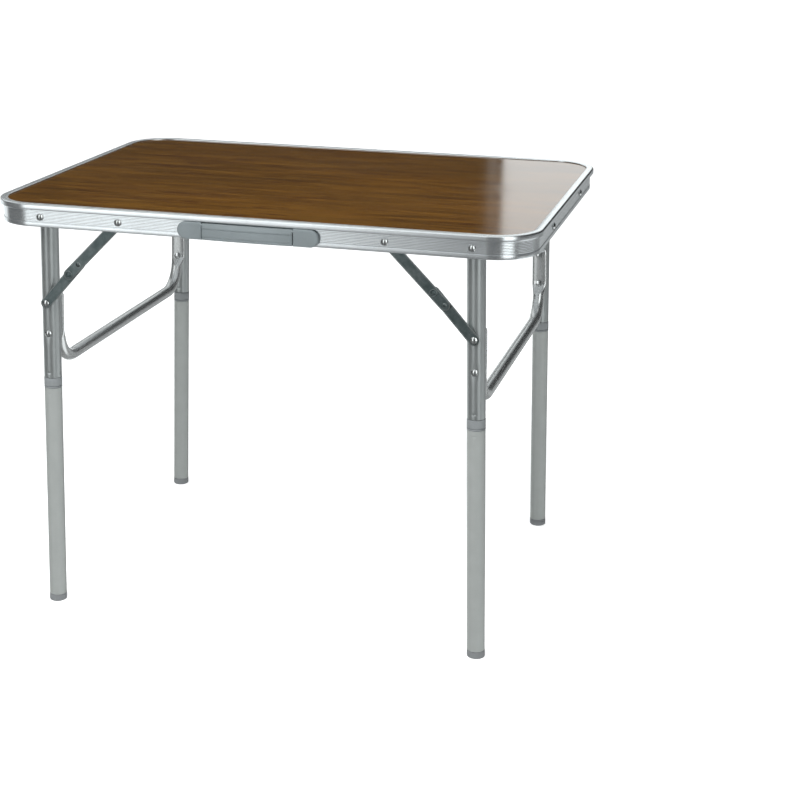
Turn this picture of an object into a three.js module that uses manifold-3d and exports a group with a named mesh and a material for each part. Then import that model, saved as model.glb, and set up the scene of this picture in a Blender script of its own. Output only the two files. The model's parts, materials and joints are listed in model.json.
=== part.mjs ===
// Camping table: a wood-look board in a two-piece aluminium edge frame, two fold-in leg frames
// with pull-off extension tubes, locking scissor braces, tube storage clips and a carry grip.
// Millimetres, +Z up. The origin is on the ground under the middle of the table's box,
// +X runs along the long side and the carry grip is on the -Y side.
import * as THREE from 'three';
import { mergeVertices } from 'three/addons/utils/BufferGeometryUtils.js';
import Module from 'manifold-3d';

const wasm = await Module();
wasm.setup();

// ---- Driving dimensions ----

const TABLE_LENGTH = 750;
const TABLE_WIDTH = 550;
const TABLE_HEIGHT = 592;
const CLEARANCE = 0.3;

// Edge frame: an aluminium section whose top band overhangs its wall, with a lip over the board,
// a shelf under it and a low flange
const BAND_OVERHANG = 4;
const BAND_HEIGHT = 7.9;
const BAND_SKIN = 1.8;
const CORNER_RADIUS = 59;
const EDGE_HEIGHT = 31.3;
const EDGE_WALL = 1.8;
const LIP_WIDTH = 6.8;
const LIP_THICKNESS = 1.5;
const SHELF_WIDTH = 9;
const SHELF_THICKNESS = 1.2;
const FLANGE_WIDTH = 5;
const FLANGE_THICKNESS = 1.5;
const BOARD_THICKNESS = 3;
const BOARD_REBATE = 0.3;
const CORNER_SEGMENTS = 6;

// Plates inside the two joints of the edge frame, and the stiffening channel under the board
const SPLICE_LENGTH = 50;
const SPLICE_HEIGHT = 18;
const SPLICE_THICKNESS = 1.5;
const RAIL_WIDTH = 18;
const RAIL_DEPTH = 5;
const RAIL_SHEET = 1.2;
const RAIL_WALL_OUT_X = 226;

// Leg frames
const PIVOT_X = 294.5;
const PIVOT_DROP = 17.8;
const SPLAY_DEG = 1.7;
const LEG_Y = 242.5;
const LEG_RADIUS = 12.25;
const LEG_WALL = 1.2;
const LEG_TOP_RADIUS = 12.6;
const LEG_TOP_SIDES = 24;
const LEG_TUBE_BELOW_PIVOT = 231.7;
const TUBE_SIDES = 20;

// Moulded fittings in the tubes
const FITTING_RADIUS = 12.5;
const COLLAR_HEIGHT = 12;
const SHOULDER_HEIGHT = 2.4;
const SHOULDER_CHAMFER = 0.6;
const FOOT_HEIGHT = 10.5;
const LEVELLER_SEAT_HEIGHT = 2.4;
const LEVELLER_STUD_RADIUS = 4;
const PLUG_RADIUS = 10.7;
const PLUG_LENGTH = 16;
const SOCKET_DEPTH = 32;
const SPIGOT_RADIUS = 8;
const SPIGOT_LENGTH = 28;
const SPIGOT_TIP_CHAMFER = 1.2;

// U-shaped cross brace of each leg frame: a round tube whose two ends are pressed flat
const CROSS_RADIUS = 8.8;
const CROSS_DROP = 217;
const CROSS_BEND_RADIUS = 44;
const CROSS_STEPS = 30;
const BEZIER_ARC = 0.5523;
const BLADE_WIDTH = 22;
const BLADE_THICKNESS = 7;
const BLADE_CORNER = 5.5;
const BLADE_TOP_DROP = 112;
const BLADE_BOTTOM_DROP = 180.5;
const CROSS_RIVET_DROP = 167;

// Scissor braces outside the legs: two flat links that meet at a knee
const BRACE_X = 182;
const BRACE_FOOT_DROP = 122.5;
const LINK_WIDTH = 14.8;
const LINK_THICKNESS = 2;
const LINK_TAIL = 20.8;
const KNEE_SPARE_LENGTH = 0.06;
const LOWER_LINK_Y = 258.5;
const UPPER_LINK_Y = 263.1;
const KNEE_HEAD_RADIUS = 5.5;
const KNEE_HEAD_HEIGHT = 1.2;
const KNEE_TAIL_RADIUS = 3;
const KNEE_TAIL_HEIGHT = 0.8;

// Rivets
const SHANK_RADIUS = 2.4;
const HOLE_RADIUS = 2.8;
const DRILL_LENGTH = 6;
const HEAD_RADIUS = 4.8;
const HEAD_RIM = 0.3;
const TALL_DOME = 2.2;
const LOW_DOME = 1.7;
const TAIL_HEIGHT = 1.6;
const SPACER_RADIUS = 5;
const RIVET_SIDES = 8;
const DOME_RING_OUT = 0.6;
const DOME_RING_UP = 0.8;
const PLATE_SEGMENTS = 6;

// Clips that store the extension tubes along the short ends
const CLIP_Y = 114.7;
const CLIP_WIDTH = 14;
const CLIP_SHEET = 1.5;
const CLIP_TAB_BOTTOM_RISE = 2.3;
const CLIP_TUBE_X = [334, 301];
const CLIP_INNER_RADIUS = 12.6;
const CLIP_MOUTH_DEG = 35;

// Carry grip and its base
const BASE_LENGTH = 192.8;
const BASE_HEIGHT = 23;
const BASE_THICKNESS = 5.7;
const BASE_PLATE = 1.2;
const RECESS_HALF = 62;
const GRIP_HALF = 61.6;
const GRIP_PROUD = 9;
const GRIP_AXIS_OUT = 4.2;
const GRIP_AXIS_DROP = 3.2;
const GRIP_BARREL = 2.4;
const GRIP_DROP = 19.4;
const GRIP_EDGE_BOW = 0.5;
const GRIP_BROW_DROP = 2.5;
const GRIP_TOP_RISE = 2;
const GRIP_CHIN_RISE = 1.6;
const GRIP_PIN_RADIUS = 1.5;
const GRIP_PIN_HOLE = 1.9;
const GRIP_PIN_LENGTH = 5.4;

// ---- Derived places ----

const FRAME_BOTTOM = TABLE_HEIGHT - EDGE_HEIGHT;
const BOARD_TOP = TABLE_HEIGHT - LIP_THICKNESS - CLEARANCE;
const BOARD_BOTTOM = BOARD_TOP - BOARD_THICKNESS;
const SHELF_TOP = BOARD_BOTTOM - CLEARANCE;
const SHELF_BOTTOM = SHELF_TOP - SHELF_THICKNESS;
const WALL_OUT_X = TABLE_LENGTH / 2 - BAND_OVERHANG;
const WALL_OUT_Y = TABLE_WIDTH / 2 - BAND_OVERHANG;
const WALL_IN_Y = WALL_OUT_Y - EDGE_WALL;
const WALL_IN_X = WALL_OUT_X - EDGE_WALL;

const PIVOT_Z = TABLE_HEIGHT - PIVOT_DROP;
const SPLAY = THREE.MathUtils.degToRad(SPLAY_DEG);
const LEG_LENGTH = PIVOT_Z / Math.cos(SPLAY);
const LEG_OUT_Y = LEG_Y + LEG_RADIUS;
const LEG_IN_Y = LEG_Y - LEG_RADIUS;
const LEG_BORE = LEG_RADIUS - LEG_WALL;
const BLADE_OUT_Y = LEG_IN_Y - CLEARANCE;
const BLADE_IN_Y = BLADE_OUT_Y - BLADE_THICKNESS;
const CROSS_ARM_Y = BLADE_OUT_Y - CROSS_RADIUS;

// Heights along a leg, counted from its pivot
const COLLAR_TOP = -LEG_TUBE_BELOW_PIVOT - CLEARANCE;
const SHOULDER_TOP = COLLAR_TOP - COLLAR_HEIGHT - CLEARANCE;
const EXTENSION_TOP = SHOULDER_TOP - SHOULDER_HEIGHT - CLEARANCE;
const EXTENSION_BOTTOM = -LEG_LENGTH + FOOT_HEIGHT;
const FOOT_TOP = EXTENSION_BOTTOM - CLEARANCE;
const FOOT_CUT_BELOW = -LEG_LENGTH - 2;

// The knee is where links of these lengths meet, on the leg's side of the straight line
const FOLDED_GAP = BRACE_FOOT_DROP - (PIVOT_X - BRACE_X);
const BRACE_FOOT_X = PIVOT_X + BRACE_FOOT_DROP * Math.sin(SPLAY);
const BRACE_FOOT_Z = PIVOT_Z - BRACE_FOOT_DROP * Math.cos(SPLAY);
const BRACE_RUN = BRACE_FOOT_X - BRACE_X;
const BRACE_FALL = PIVOT_Z - BRACE_FOOT_Z;
const BRACE_SPAN = Math.hypot(BRACE_RUN, BRACE_FALL);
const UPPER_LENGTH = (BRACE_SPAN + KNEE_SPARE_LENGTH + FOLDED_GAP) / 2;
const LOWER_LENGTH = UPPER_LENGTH - FOLDED_GAP;
const KNEE_ALONG = (UPPER_LENGTH ** 2 - LOWER_LENGTH ** 2 + BRACE_SPAN ** 2) / (2 * BRACE_SPAN);
const KNEE_OFFSET = Math.sqrt(UPPER_LENGTH ** 2 - KNEE_ALONG ** 2);
const KNEE_X = BRACE_X + (KNEE_ALONG * BRACE_RUN + KNEE_OFFSET * BRACE_FALL) / BRACE_SPAN;
const KNEE_Z = PIVOT_Z + (KNEE_OFFSET * BRACE_RUN - KNEE_ALONG * BRACE_FALL) / BRACE_SPAN;

const SIDES = { left: -1, right: 1 };
const ENDS = { front: -1, rear: 1 };
const SHIFT_Y = (GRIP_PROUD - BAND_OVERHANG) / 2;

// ---- Materials ----

function metal(color, roughness) {
  return new THREE.MeshStandardMaterial({ color, roughness, metalness: 1 });
}

function plastic(color, roughness) {
  return new THREE.MeshStandardMaterial({ color, roughness, metalness: 0 });
}

const boardFinish = plastic(0x6b4620, 0.22);
const edgeAluminium = metal(0xd3d6d8, 0.35);
const satinTube = metal(0xa9aeab, 0.42);
const brightTube = metal(0xc8cbcc, 0.15);
const plateSteel = metal(0x6f7c7e, 0.38);
const rivetSteel = metal(0xd8dadb, 0.12);
const clipSteel = metal(0xb4b8ba, 0.3);
const railSteel = metal(0x5c6266, 0.5);
const gripPlastic = plastic(0x8c969b, 0.5);
const fittingPlastic = plastic(0x73777a, 0.55);

// ---- Solids ----

function toSolid(geometry) {
  const bare = geometry.clone();
  bare.deleteAttribute('normal');
  bare.deleteAttribute('uv');
  const merged = mergeVertices(bare, 1e-4);
  return new wasm.Manifold(new wasm.Mesh({
    numProp: 3,
    vertProperties: new Float32Array(merged.attributes.position.array),
    triVerts: new Uint32Array(merged.index.array),
  }));
}

function toGeometry(solid) {
  const mesh = solid.getMesh();
  const geometry = new THREE.BufferGeometry();
  geometry.setAttribute('position', new THREE.BufferAttribute(new Float32Array(mesh.vertProperties), 3));
  geometry.setIndex(new THREE.BufferAttribute(new Uint32Array(mesh.triVerts), 1));
  geometry.computeVertexNormals();
  return geometry;
}

function joined(geometries) {
  return toGeometry(geometries.map(toSolid).reduce((sum, solid) => sum.add(solid)));
}

function cut(geometry, tools) {
  return toGeometry(tools.map(toSolid).reduce((rest, tool) => rest.subtract(tool), toSolid(geometry)));
}

function common(geometryA, geometryB) {
  return toGeometry(toSolid(geometryA).intersect(toSolid(geometryB)));
}

// A box between two corners
function block(low, high) {
  const size = high.map((value, axis) => value - low[axis]);
  const middle = high.map((value, axis) => (value + low[axis]) / 2);
  return new THREE.BoxGeometry(...size).translate(...middle);
}

// A solid of revolution about Z, from [radius, z] points listed from the top down
function turned(profile, segments = TUBE_SIDES) {
  const points = profile.map(([radius, z]) => new THREE.Vector2(radius, z)).reverse();
  return new THREE.LatheGeometry(points, segments).rotateX(Math.PI / 2);
}

// A round tube about Z
function tube(outerRadius, innerRadius, topZ, bottomZ) {
  return turned([
    [outerRadius, topZ],
    [outerRadius, bottomZ],
    [innerRadius, bottomZ],
    [innerRadius, topZ],
    [outerRadius, topZ],
  ]);
}

// An outline in the X-Z plane made into a plate between two Y values
function plate(shape, lowY, highY) {
  const geometry = new THREE.ExtrudeGeometry(shape, {
    depth: highY - lowY,
    bevelEnabled: false,
    curveSegments: PLATE_SEGMENTS,
  });
  return geometry.rotateX(Math.PI / 2).translate(0, highY, 0);
}

// A round rod along Y
function rodAlongY(x, z, radius, lowY, highY) {
  const rod = new THREE.CylinderGeometry(radius, radius, highY - lowY, RIVET_SIDES);
  return rod.translate(x, (lowY + highY) / 2, z);
}

// A strip with round ends, from a centre at the origin to one at [length, 0]
function stripShape(length, width) {
  const radius = width / 2;
  const shape = new THREE.Shape();
  shape.moveTo(0, -radius);
  shape.lineTo(length, -radius);
  shape.absarc(length, 0, radius, -Math.PI / 2, Math.PI / 2);
  shape.lineTo(0, radius);
  shape.absarc(0, 0, radius, Math.PI / 2, Math.PI * 1.5);
  return shape;
}

// A rivet or pin about Z with its domed head up. Each section is [from, to, radius].
// The dome is drawn with one ring of points, most of the way out and up.
function rivet(sections, domeHeight) {
  const [[headTop, , headRadius]] = sections;
  const profile = [
    [0, headTop + domeHeight],
    [headRadius * DOME_RING_OUT, headTop + domeHeight * DOME_RING_UP],
  ];
  for (const [from, to, radius] of sections) {
    profile.push([radius, from], [radius, to]);
  }
  profile.push([0, sections.at(-1)[1]]);
  return turned(profile, RIVET_SIDES);
}

// The same rivet lying along Y, with its head away from the table's middle
function rivetAlongY(end, sections, domeHeight) {
  return rivet(sections, domeHeight).rotateX(-end * Math.PI / 2);
}

function piece(name, geometry, material) {
  const mesh = new THREE.Mesh(geometry, material);
  mesh.name = name;
  return mesh;
}

// ---- Board and edge frame ----

// The outer face of the edge frame's wall in plan, moved inwards
function planOutline(inset) {
  const x = WALL_OUT_X - inset;
  const y = WALL_OUT_Y - inset;
  const radius = CORNER_RADIUS - inset;
  const shape = new THREE.Shape();
  shape.moveTo(radius - x, -y);
  shape.lineTo(x - radius, -y);
  shape.absarc(x - radius, radius - y, radius, -Math.PI / 2, 0);
  shape.lineTo(x, y - radius);
  shape.absarc(x - radius, y - radius, radius, 0, Math.PI / 2);
  shape.lineTo(radius - x, y);
  shape.absarc(radius - x, y - radius, radius, Math.PI / 2, Math.PI);
  shape.lineTo(-x, radius - y);
  shape.absarc(radius - x, radius - y, radius, Math.PI, Math.PI * 1.5);
  return shape;
}

function planSlab(shape, lowZ, highZ) {
  return new THREE.ExtrudeGeometry(shape, {
    depth: highZ - lowZ,
    bevelEnabled: false,
    curveSegments: CORNER_SEGMENTS,
  }).translate(0, 0, lowZ);
}

// A band that follows the wall, between two distances inwards from its outer face
function planRing(outer, inner, lowZ, highZ) {
  const shape = planOutline(outer);
  shape.holes.push(planOutline(inner));
  return planSlab(shape, lowZ, highZ);
}

function wallRivetHoles() {
  const holes = [];
  for (const side of Object.values(SIDES)) {
    for (const end of Object.values(ENDS)) {
      for (const x of [PIVOT_X, BRACE_X]) {
        const drill = new THREE.CylinderGeometry(HOLE_RADIUS, HOLE_RADIUS, DRILL_LENGTH, RIVET_SIDES);
        holes.push(drill.translate(side * x, end * WALL_OUT_Y, PIVOT_Z));
      }
      const sideDrill = new THREE.CylinderGeometry(HOLE_RADIUS, HOLE_RADIUS, DRILL_LENGTH, RIVET_SIDES);
      holes.push(sideDrill.rotateZ(Math.PI / 2).translate(side * WALL_OUT_X, end * CLIP_Y, PIVOT_Z));
    }
  }
  return holes;
}

function edgeFrame() {
  const section = joined([
    planRing(0, EDGE_WALL, FRAME_BOTTOM, TABLE_HEIGHT),
    planRing(-BAND_OVERHANG, LIP_WIDTH, TABLE_HEIGHT - LIP_THICKNESS, TABLE_HEIGHT),
    planRing(-BAND_OVERHANG, BAND_SKIN - BAND_OVERHANG, TABLE_HEIGHT - BAND_HEIGHT, TABLE_HEIGHT),
    planRing(0, SHELF_WIDTH, SHELF_BOTTOM, SHELF_TOP),
    planRing(0, FLANGE_WIDTH, FRAME_BOTTOM, FRAME_BOTTOM + FLANGE_THICKNESS),
  ]);
  return cut(section, wallRivetHoles());
}

function edgeFrameHalf(frame, side) {
  const inner = side * CLEARANCE / 2;
  const outer = side * TABLE_LENGTH;
  const half = block(
    [Math.min(inner, outer), -TABLE_WIDTH, 0],
    [Math.max(inner, outer), TABLE_WIDTH, TABLE_HEIGHT + 1],
  );
  return common(frame, half);
}

function splicePlate(end) {
  const faces = [end * (WALL_IN_Y - CLEARANCE), end * (WALL_IN_Y - CLEARANCE - SPLICE_THICKNESS)];
  const middleZ = (FRAME_BOTTOM + FLANGE_THICKNESS + SHELF_BOTTOM) / 2;
  return block(
    [-SPLICE_LENGTH / 2, Math.min(...faces), middleZ - SPLICE_HEIGHT / 2],
    [SPLICE_LENGTH / 2, Math.max(...faces), middleZ + SPLICE_HEIGHT / 2],
  );
}

function centerRail() {
  const top = BOARD_BOTTOM - CLEARANCE;
  const solid = block(
    [-RAIL_WIDTH / 2, -RAIL_WALL_OUT_X, top - RAIL_DEPTH],
    [RAIL_WIDTH / 2, RAIL_WALL_OUT_X, top],
  );
  const channel = block(
    [RAIL_SHEET - RAIL_WIDTH / 2, -RAIL_WALL_OUT_X - 1, top - RAIL_DEPTH - 1],
    [RAIL_WIDTH / 2 - RAIL_SHEET, RAIL_WALL_OUT_X + 1, top - RAIL_SHEET],
  );
  return cut(solid, [channel]);
}

// The board's rim is rebated where it goes under the lip
function board() {
  const rimmed = planSlab(planOutline(EDGE_WALL + CLEARANCE), BOARD_BOTTOM, BOARD_TOP);
  const field = planSlab(planOutline(LIP_WIDTH + CLEARANCE), BOARD_BOTTOM, BOARD_TOP + BOARD_REBATE);
  return joined([rimmed, field]);
}

function addTop(table) {
  table.add(piece('top_board', board(), boardFinish));
  table.add(piece('center_rail', centerRail(), railSteel));
  const frame = edgeFrame();
  for (const [sideName, side] of Object.entries(SIDES)) {
    table.add(piece(`edge_frame_${sideName}`, edgeFrameHalf(frame, side), edgeAluminium));
  }
  for (const [endName, end] of Object.entries(ENDS)) {
    table.add(piece(`frame_splice_${endName}`, splicePlate(end), clipSteel));
  }
}

// ---- Storage clips ----

// An open ring with its mouth down
function clipCupShape(x, z) {
  const mouth = THREE.MathUtils.degToRad(CLIP_MOUTH_DEG);
  const shape = new THREE.Shape();
  shape.absarc(x, z, CLIP_INNER_RADIUS + CLIP_SHEET, -mouth, Math.PI + mouth);
  shape.absarc(x, z, CLIP_INNER_RADIUS, Math.PI + mouth, -mouth, true);
  return shape;
}

// One bent strip and its rivet, made on the right side of the table about Y = 0
function clipGeometry() {
  const top = SHELF_BOTTOM - CLEARANCE;
  const cupZ = top - CLIP_INNER_RADIUS - CLIP_SHEET;
  const tabOut = WALL_IN_X - CLEARANCE;
  const halfWidth = CLIP_WIDTH / 2;
  const farCup = Math.min(...CLIP_TUBE_X);
  const tab = block(
    [tabOut - CLIP_SHEET, -halfWidth, FRAME_BOTTOM + CLIP_TAB_BOTTOM_RISE],
    [tabOut, halfWidth, top],
  );
  const strip = block([farCup, -halfWidth, top - CLIP_SHEET], [tabOut, halfWidth, top]);
  const cups = CLIP_TUBE_X.map((x) => plate(clipCupShape(x, cupZ), -halfWidth, halfWidth));
  const outFace = WALL_OUT_X + CLEARANCE;
  const wallRivet = rivet([
    [outFace + HEAD_RIM, outFace, HEAD_RADIUS],
    [outFace, tabOut, SHANK_RADIUS],
    [tabOut, tabOut - CLIP_SHEET - TAIL_HEIGHT, HEAD_RADIUS],
  ], TALL_DOME).rotateY(Math.PI / 2).translate(0, 0, PIVOT_Z);
  return joined([tab, strip, ...cups, wallRivet]);
}

function addClips(table) {
  const geometry = clipGeometry();
  for (const [sideName, side] of Object.entries(SIDES)) {
    for (const [endName, end] of Object.entries(ENDS)) {
      const clip = piece(`tube_clip_${sideName}_${endName}`, geometry, clipSteel);
      clip.rotation.z = side > 0 ? 0 : Math.PI;
      clip.position.y = end * CLIP_Y;
      table.add(clip);
    }
  }
}

// ---- Carry grip ----

function gripBase() {
  const backY = -WALL_OUT_Y - CLEARANCE;
  const frontY = backY - BASE_THICKNESS;
  const pill = plate(stripShape(BASE_LENGTH - BASE_HEIGHT, BASE_HEIGHT), frontY, backY);
  pill.translate(-(BASE_LENGTH - BASE_HEIGHT) / 2, 0, FRAME_BOTTOM + BASE_HEIGHT / 2);
  const recess = block(
    [-RECESS_HALF, frontY - 1, FRAME_BOTTOM - 1],
    [RECESS_HALF, backY - BASE_PLATE, FRAME_BOTTOM + BASE_HEIGHT + 1],
  );
  const pinLength = 2 * (RECESS_HALF + GRIP_PIN_LENGTH + 1);
  const pinHole = new THREE.CylinderGeometry(GRIP_PIN_HOLE, GRIP_PIN_HOLE, pinLength, RIVET_SIDES);
  pinHole.rotateZ(Math.PI / 2).translate(
    0,
    -WALL_OUT_Y - GRIP_AXIS_OUT,
    FRAME_BOTTOM + BASE_HEIGHT - GRIP_AXIS_DROP,
  );
  return cut(pill, [recess, pinHole]);
}

// The grip, about its own hinge axis: flat behind, bowed in front, round along the top
function gripGeometry() {
  const bow = GRIP_PROUD - GRIP_AXIS_OUT;
  const plan = new THREE.Shape();
  plan.moveTo(-GRIP_HALF, GRIP_BARREL);
  plan.lineTo(-GRIP_HALF, -GRIP_BARREL);
  plan.quadraticCurveTo(0, GRIP_BARREL - 2 * bow, GRIP_HALF, -GRIP_BARREL);
  plan.lineTo(GRIP_HALF, GRIP_BARREL);
  const bowed = new THREE.ExtrudeGeometry(plan, {
    depth: GRIP_DROP + GRIP_BARREL,
    bevelEnabled: false,
    curveSegments: 12,
  }).translate(0, 0, -GRIP_DROP);

  const section = new THREE.Shape();
  section.moveTo(GRIP_BARREL, -GRIP_DROP);
  section.lineTo(GRIP_BARREL, 0);
  section.absarc(0, 0, GRIP_BARREL, 0, Math.PI / 2);
  section.lineTo(-bow * GRIP_EDGE_BOW, GRIP_TOP_RISE);
  section.lineTo(-bow, -GRIP_BROW_DROP);
  section.lineTo(-bow, GRIP_CHIN_RISE - GRIP_DROP);
  section.lineTo(-bow * GRIP_EDGE_BOW, -GRIP_DROP);
  const rounded = new THREE.ExtrudeGeometry(section, {
    depth: 2 * GRIP_HALF,
    bevelEnabled: false,
    curveSegments: 4,
  });
  rounded.rotateX(Math.PI / 2).rotateZ(Math.PI / 2).translate(-GRIP_HALF, 0, 0);

  const pinLength = 2 * (GRIP_HALF + GRIP_PIN_LENGTH);
  const pin = new THREE.CylinderGeometry(GRIP_PIN_RADIUS, GRIP_PIN_RADIUS, pinLength, RIVET_SIDES);
  return joined([common(bowed, rounded), pin.rotateZ(Math.PI / 2)]);
}

function addGrip(table) {
  table.add(piece('grip_base', gripBase(), gripPlastic));
  const grip = piece('carry_grip', gripGeometry(), gripPlastic);
  grip.position.set(0, -WALL_OUT_Y - GRIP_AXIS_OUT, FRAME_BOTTOM + BASE_HEIGHT - GRIP_AXIS_DROP);
  table.add(grip);
}

// ---- Leg frames ----

// The upper tube, with its top end cut round about the pivot so that it turns clear of the board
function legTube() {
  const hollow = tube(LEG_RADIUS, LEG_BORE, LEG_TOP_RADIUS, -LEG_TUBE_BELOW_PIVOT);
  const wide = LEG_RADIUS + 1;
  const roundTop = new THREE.CylinderGeometry(LEG_TOP_RADIUS, LEG_TOP_RADIUS, 2 * wide, LEG_TOP_SIDES);
  const belowPivot = block([-wide, -wide, -LEG_TUBE_BELOW_PIVOT - 1], [wide, wide, 0]);
  const holes = [0, BRACE_FOOT_DROP, CROSS_RIVET_DROP].map((drop) => (
    rodAlongY(0, -drop, HOLE_RADIUS, -LEG_RADIUS - 1, LEG_RADIUS + 1)
  ));
  return cut(common(hollow, joined([roundTop, belowPivot])), holes);
}

function legSocket() {
  const bore = SPIGOT_RADIUS + CLEARANCE;
  const top = COLLAR_TOP + SOCKET_DEPTH;
  const bottom = COLLAR_TOP - COLLAR_HEIGHT;
  return turned([
    [bore, top],
    [PLUG_RADIUS, top],
    [PLUG_RADIUS, COLLAR_TOP],
    [FITTING_RADIUS, COLLAR_TOP],
    [FITTING_RADIUS, bottom],
    [bore, bottom],
    [bore, top],
  ]);
}

// The U tube, in the leg frame's own axes
function crossBrace() {
  const bendTop = -CROSS_DROP + CROSS_BEND_RADIUS;
  const bendIn = CROSS_ARM_Y - CROSS_BEND_RADIUS;
  const handle = CROSS_BEND_RADIUS * (1 - BEZIER_ARC);
  const at = (y, z) => new THREE.Vector3(0, y, z);
  const bend = (end) => [
    at(end * CROSS_ARM_Y, bendTop),
    at(end * CROSS_ARM_Y, -CROSS_DROP + handle),
    at(end * (CROSS_ARM_Y - handle), -CROSS_DROP),
    at(end * bendIn, -CROSS_DROP),
  ];
  const path = new THREE.CurvePath();
  path.add(new THREE.CubicBezierCurve3(...bend(-1)));
  path.add(new THREE.LineCurve3(at(-bendIn, -CROSS_DROP), at(bendIn, -CROSS_DROP)));
  path.add(new THREE.CubicBezierCurve3(...bend(1).reverse()));
  const ring = new THREE.Shape().absarc(0, 0, CROSS_RADIUS, 0, Math.PI * 2);
  const round = new THREE.ExtrudeGeometry(ring, {
    steps: CROSS_STEPS,
    curveSegments: 6,
    extrudePath: path,
  });

  const blade = new THREE.Shape();
  blade.moveTo(-BLADE_WIDTH / 2, -BLADE_BOTTOM_DROP);
  blade.lineTo(BLADE_WIDTH / 2, -BLADE_BOTTOM_DROP);
  blade.lineTo(BLADE_WIDTH / 2, -BLADE_TOP_DROP - BLADE_CORNER);
  blade.lineTo(BLADE_WIDTH / 2 - BLADE_CORNER, -BLADE_TOP_DROP);
  blade.lineTo(BLADE_CORNER - BLADE_WIDTH / 2, -BLADE_TOP_DROP);
  blade.lineTo(-BLADE_WIDTH / 2, -BLADE_TOP_DROP - BLADE_CORNER);
  const holes = [BRACE_FOOT_DROP, CROSS_RIVET_DROP].map((drop) => (
    rodAlongY(0, -drop, HOLE_RADIUS, -LEG_Y, LEG_Y)
  ));
  return cut(joined([
    round,
    plate(blade, BLADE_IN_Y, BLADE_OUT_Y),
    plate(blade, -BLADE_OUT_Y, -BLADE_IN_Y),
  ]), holes);
}

// Rivet through a brace link, its washer, the leg and the flat end of the cross brace
function braceFootRivet(end) {
  const linkOut = LOWER_LINK_Y + LINK_THICKNESS / 2 + CLEARANCE;
  const linkIn = LOWER_LINK_Y - LINK_THICKNESS / 2 - CLEARANCE;
  return rivetAlongY(end, [
    [linkOut + HEAD_RIM, linkOut, HEAD_RADIUS],
    [linkOut, linkIn, SHANK_RADIUS],
    [linkIn, LEG_OUT_Y + CLEARANCE, SPACER_RADIUS],
    [LEG_OUT_Y + CLEARANCE, BLADE_IN_Y - CLEARANCE, SHANK_RADIUS],
    [BLADE_IN_Y - CLEARANCE, BLADE_IN_Y - CLEARANCE - TAIL_HEIGHT, HEAD_RADIUS],
  ], LOW_DOME);
}

function crossRivet(end) {
  return rivetAlongY(end, [
    [LEG_OUT_Y + CLEARANCE + HEAD_RIM, LEG_OUT_Y + CLEARANCE, HEAD_RADIUS],
    [LEG_OUT_Y + CLEARANCE, BLADE_IN_Y - CLEARANCE, SHANK_RADIUS],
    [BLADE_IN_Y - CLEARANCE, BLADE_IN_Y - CLEARANCE - TAIL_HEIGHT, HEAD_RADIUS],
  ], LOW_DOME);
}

function extensionSpigot() {
  const top = SHOULDER_TOP + SPIGOT_LENGTH;
  const shoulderBottom = SHOULDER_TOP - SHOULDER_HEIGHT;
  return turned([
    [0, top],
    [SPIGOT_RADIUS - SPIGOT_TIP_CHAMFER, top],
    [SPIGOT_RADIUS, top - SPIGOT_TIP_CHAMFER],
    [SPIGOT_RADIUS, SHOULDER_TOP],
    [FITTING_RADIUS - SHOULDER_CHAMFER, SHOULDER_TOP],
    [FITTING_RADIUS, SHOULDER_TOP - SHOULDER_CHAMFER],
    [FITTING_RADIUS, shoulderBottom],
    [PLUG_RADIUS, shoulderBottom],
    [PLUG_RADIUS, shoulderBottom - PLUG_LENGTH],
    [0, shoulderBottom - PLUG_LENGTH],
  ]);
}

// What is under the floor, in the leg frame's own axes, so that a tilted foot ends level
function floorBlock(legFrame, side) {
  const footX = side * (PIVOT_X + PIVOT_Z * Math.tan(SPLAY));
  const floor = block([footX - 30, -30, -20], [footX + 30, 30, 0]);
  legFrame.updateMatrix();
  return floor.applyMatrix4(legFrame.matrix.clone().invert());
}

function footCap(floor) {
  return cut(turned([
    [0, EXTENSION_BOTTOM + PLUG_LENGTH],
    [PLUG_RADIUS, EXTENSION_BOTTOM + PLUG_LENGTH],
    [PLUG_RADIUS, FOOT_TOP],
    [FITTING_RADIUS, FOOT_TOP],
    [FITTING_RADIUS, FOOT_CUT_BELOW],
    [0, FOOT_CUT_BELOW],
  ]), [floor]);
}

// The seat that the levelling foot screws into
function levellerSeat() {
  const bore = LEVELLER_STUD_RADIUS + CLEARANCE;
  const seatBottom = FOOT_TOP - LEVELLER_SEAT_HEIGHT;
  return turned([
    [bore, EXTENSION_BOTTOM + PLUG_LENGTH],
    [PLUG_RADIUS, EXTENSION_BOTTOM + PLUG_LENGTH],
    [PLUG_RADIUS, FOOT_TOP],
    [FITTING_RADIUS, FOOT_TOP],
    [FITTING_RADIUS, seatBottom],
    [bore, seatBottom],
    [bore, EXTENSION_BOTTOM + PLUG_LENGTH],
  ]);
}

function levellingFoot(floor) {
  const padTop = FOOT_TOP - LEVELLER_SEAT_HEIGHT - CLEARANCE;
  return cut(turned([
    [0, EXTENSION_BOTTOM + PLUG_LENGTH - 2],
    [LEVELLER_STUD_RADIUS, EXTENSION_BOTTOM + PLUG_LENGTH - 2],
    [LEVELLER_STUD_RADIUS, padTop],
    [FITTING_RADIUS, padTop],
    [FITTING_RADIUS, FOOT_CUT_BELOW],
    [0, FOOT_CUT_BELOW],
  ]), [floor]);
}

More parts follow.
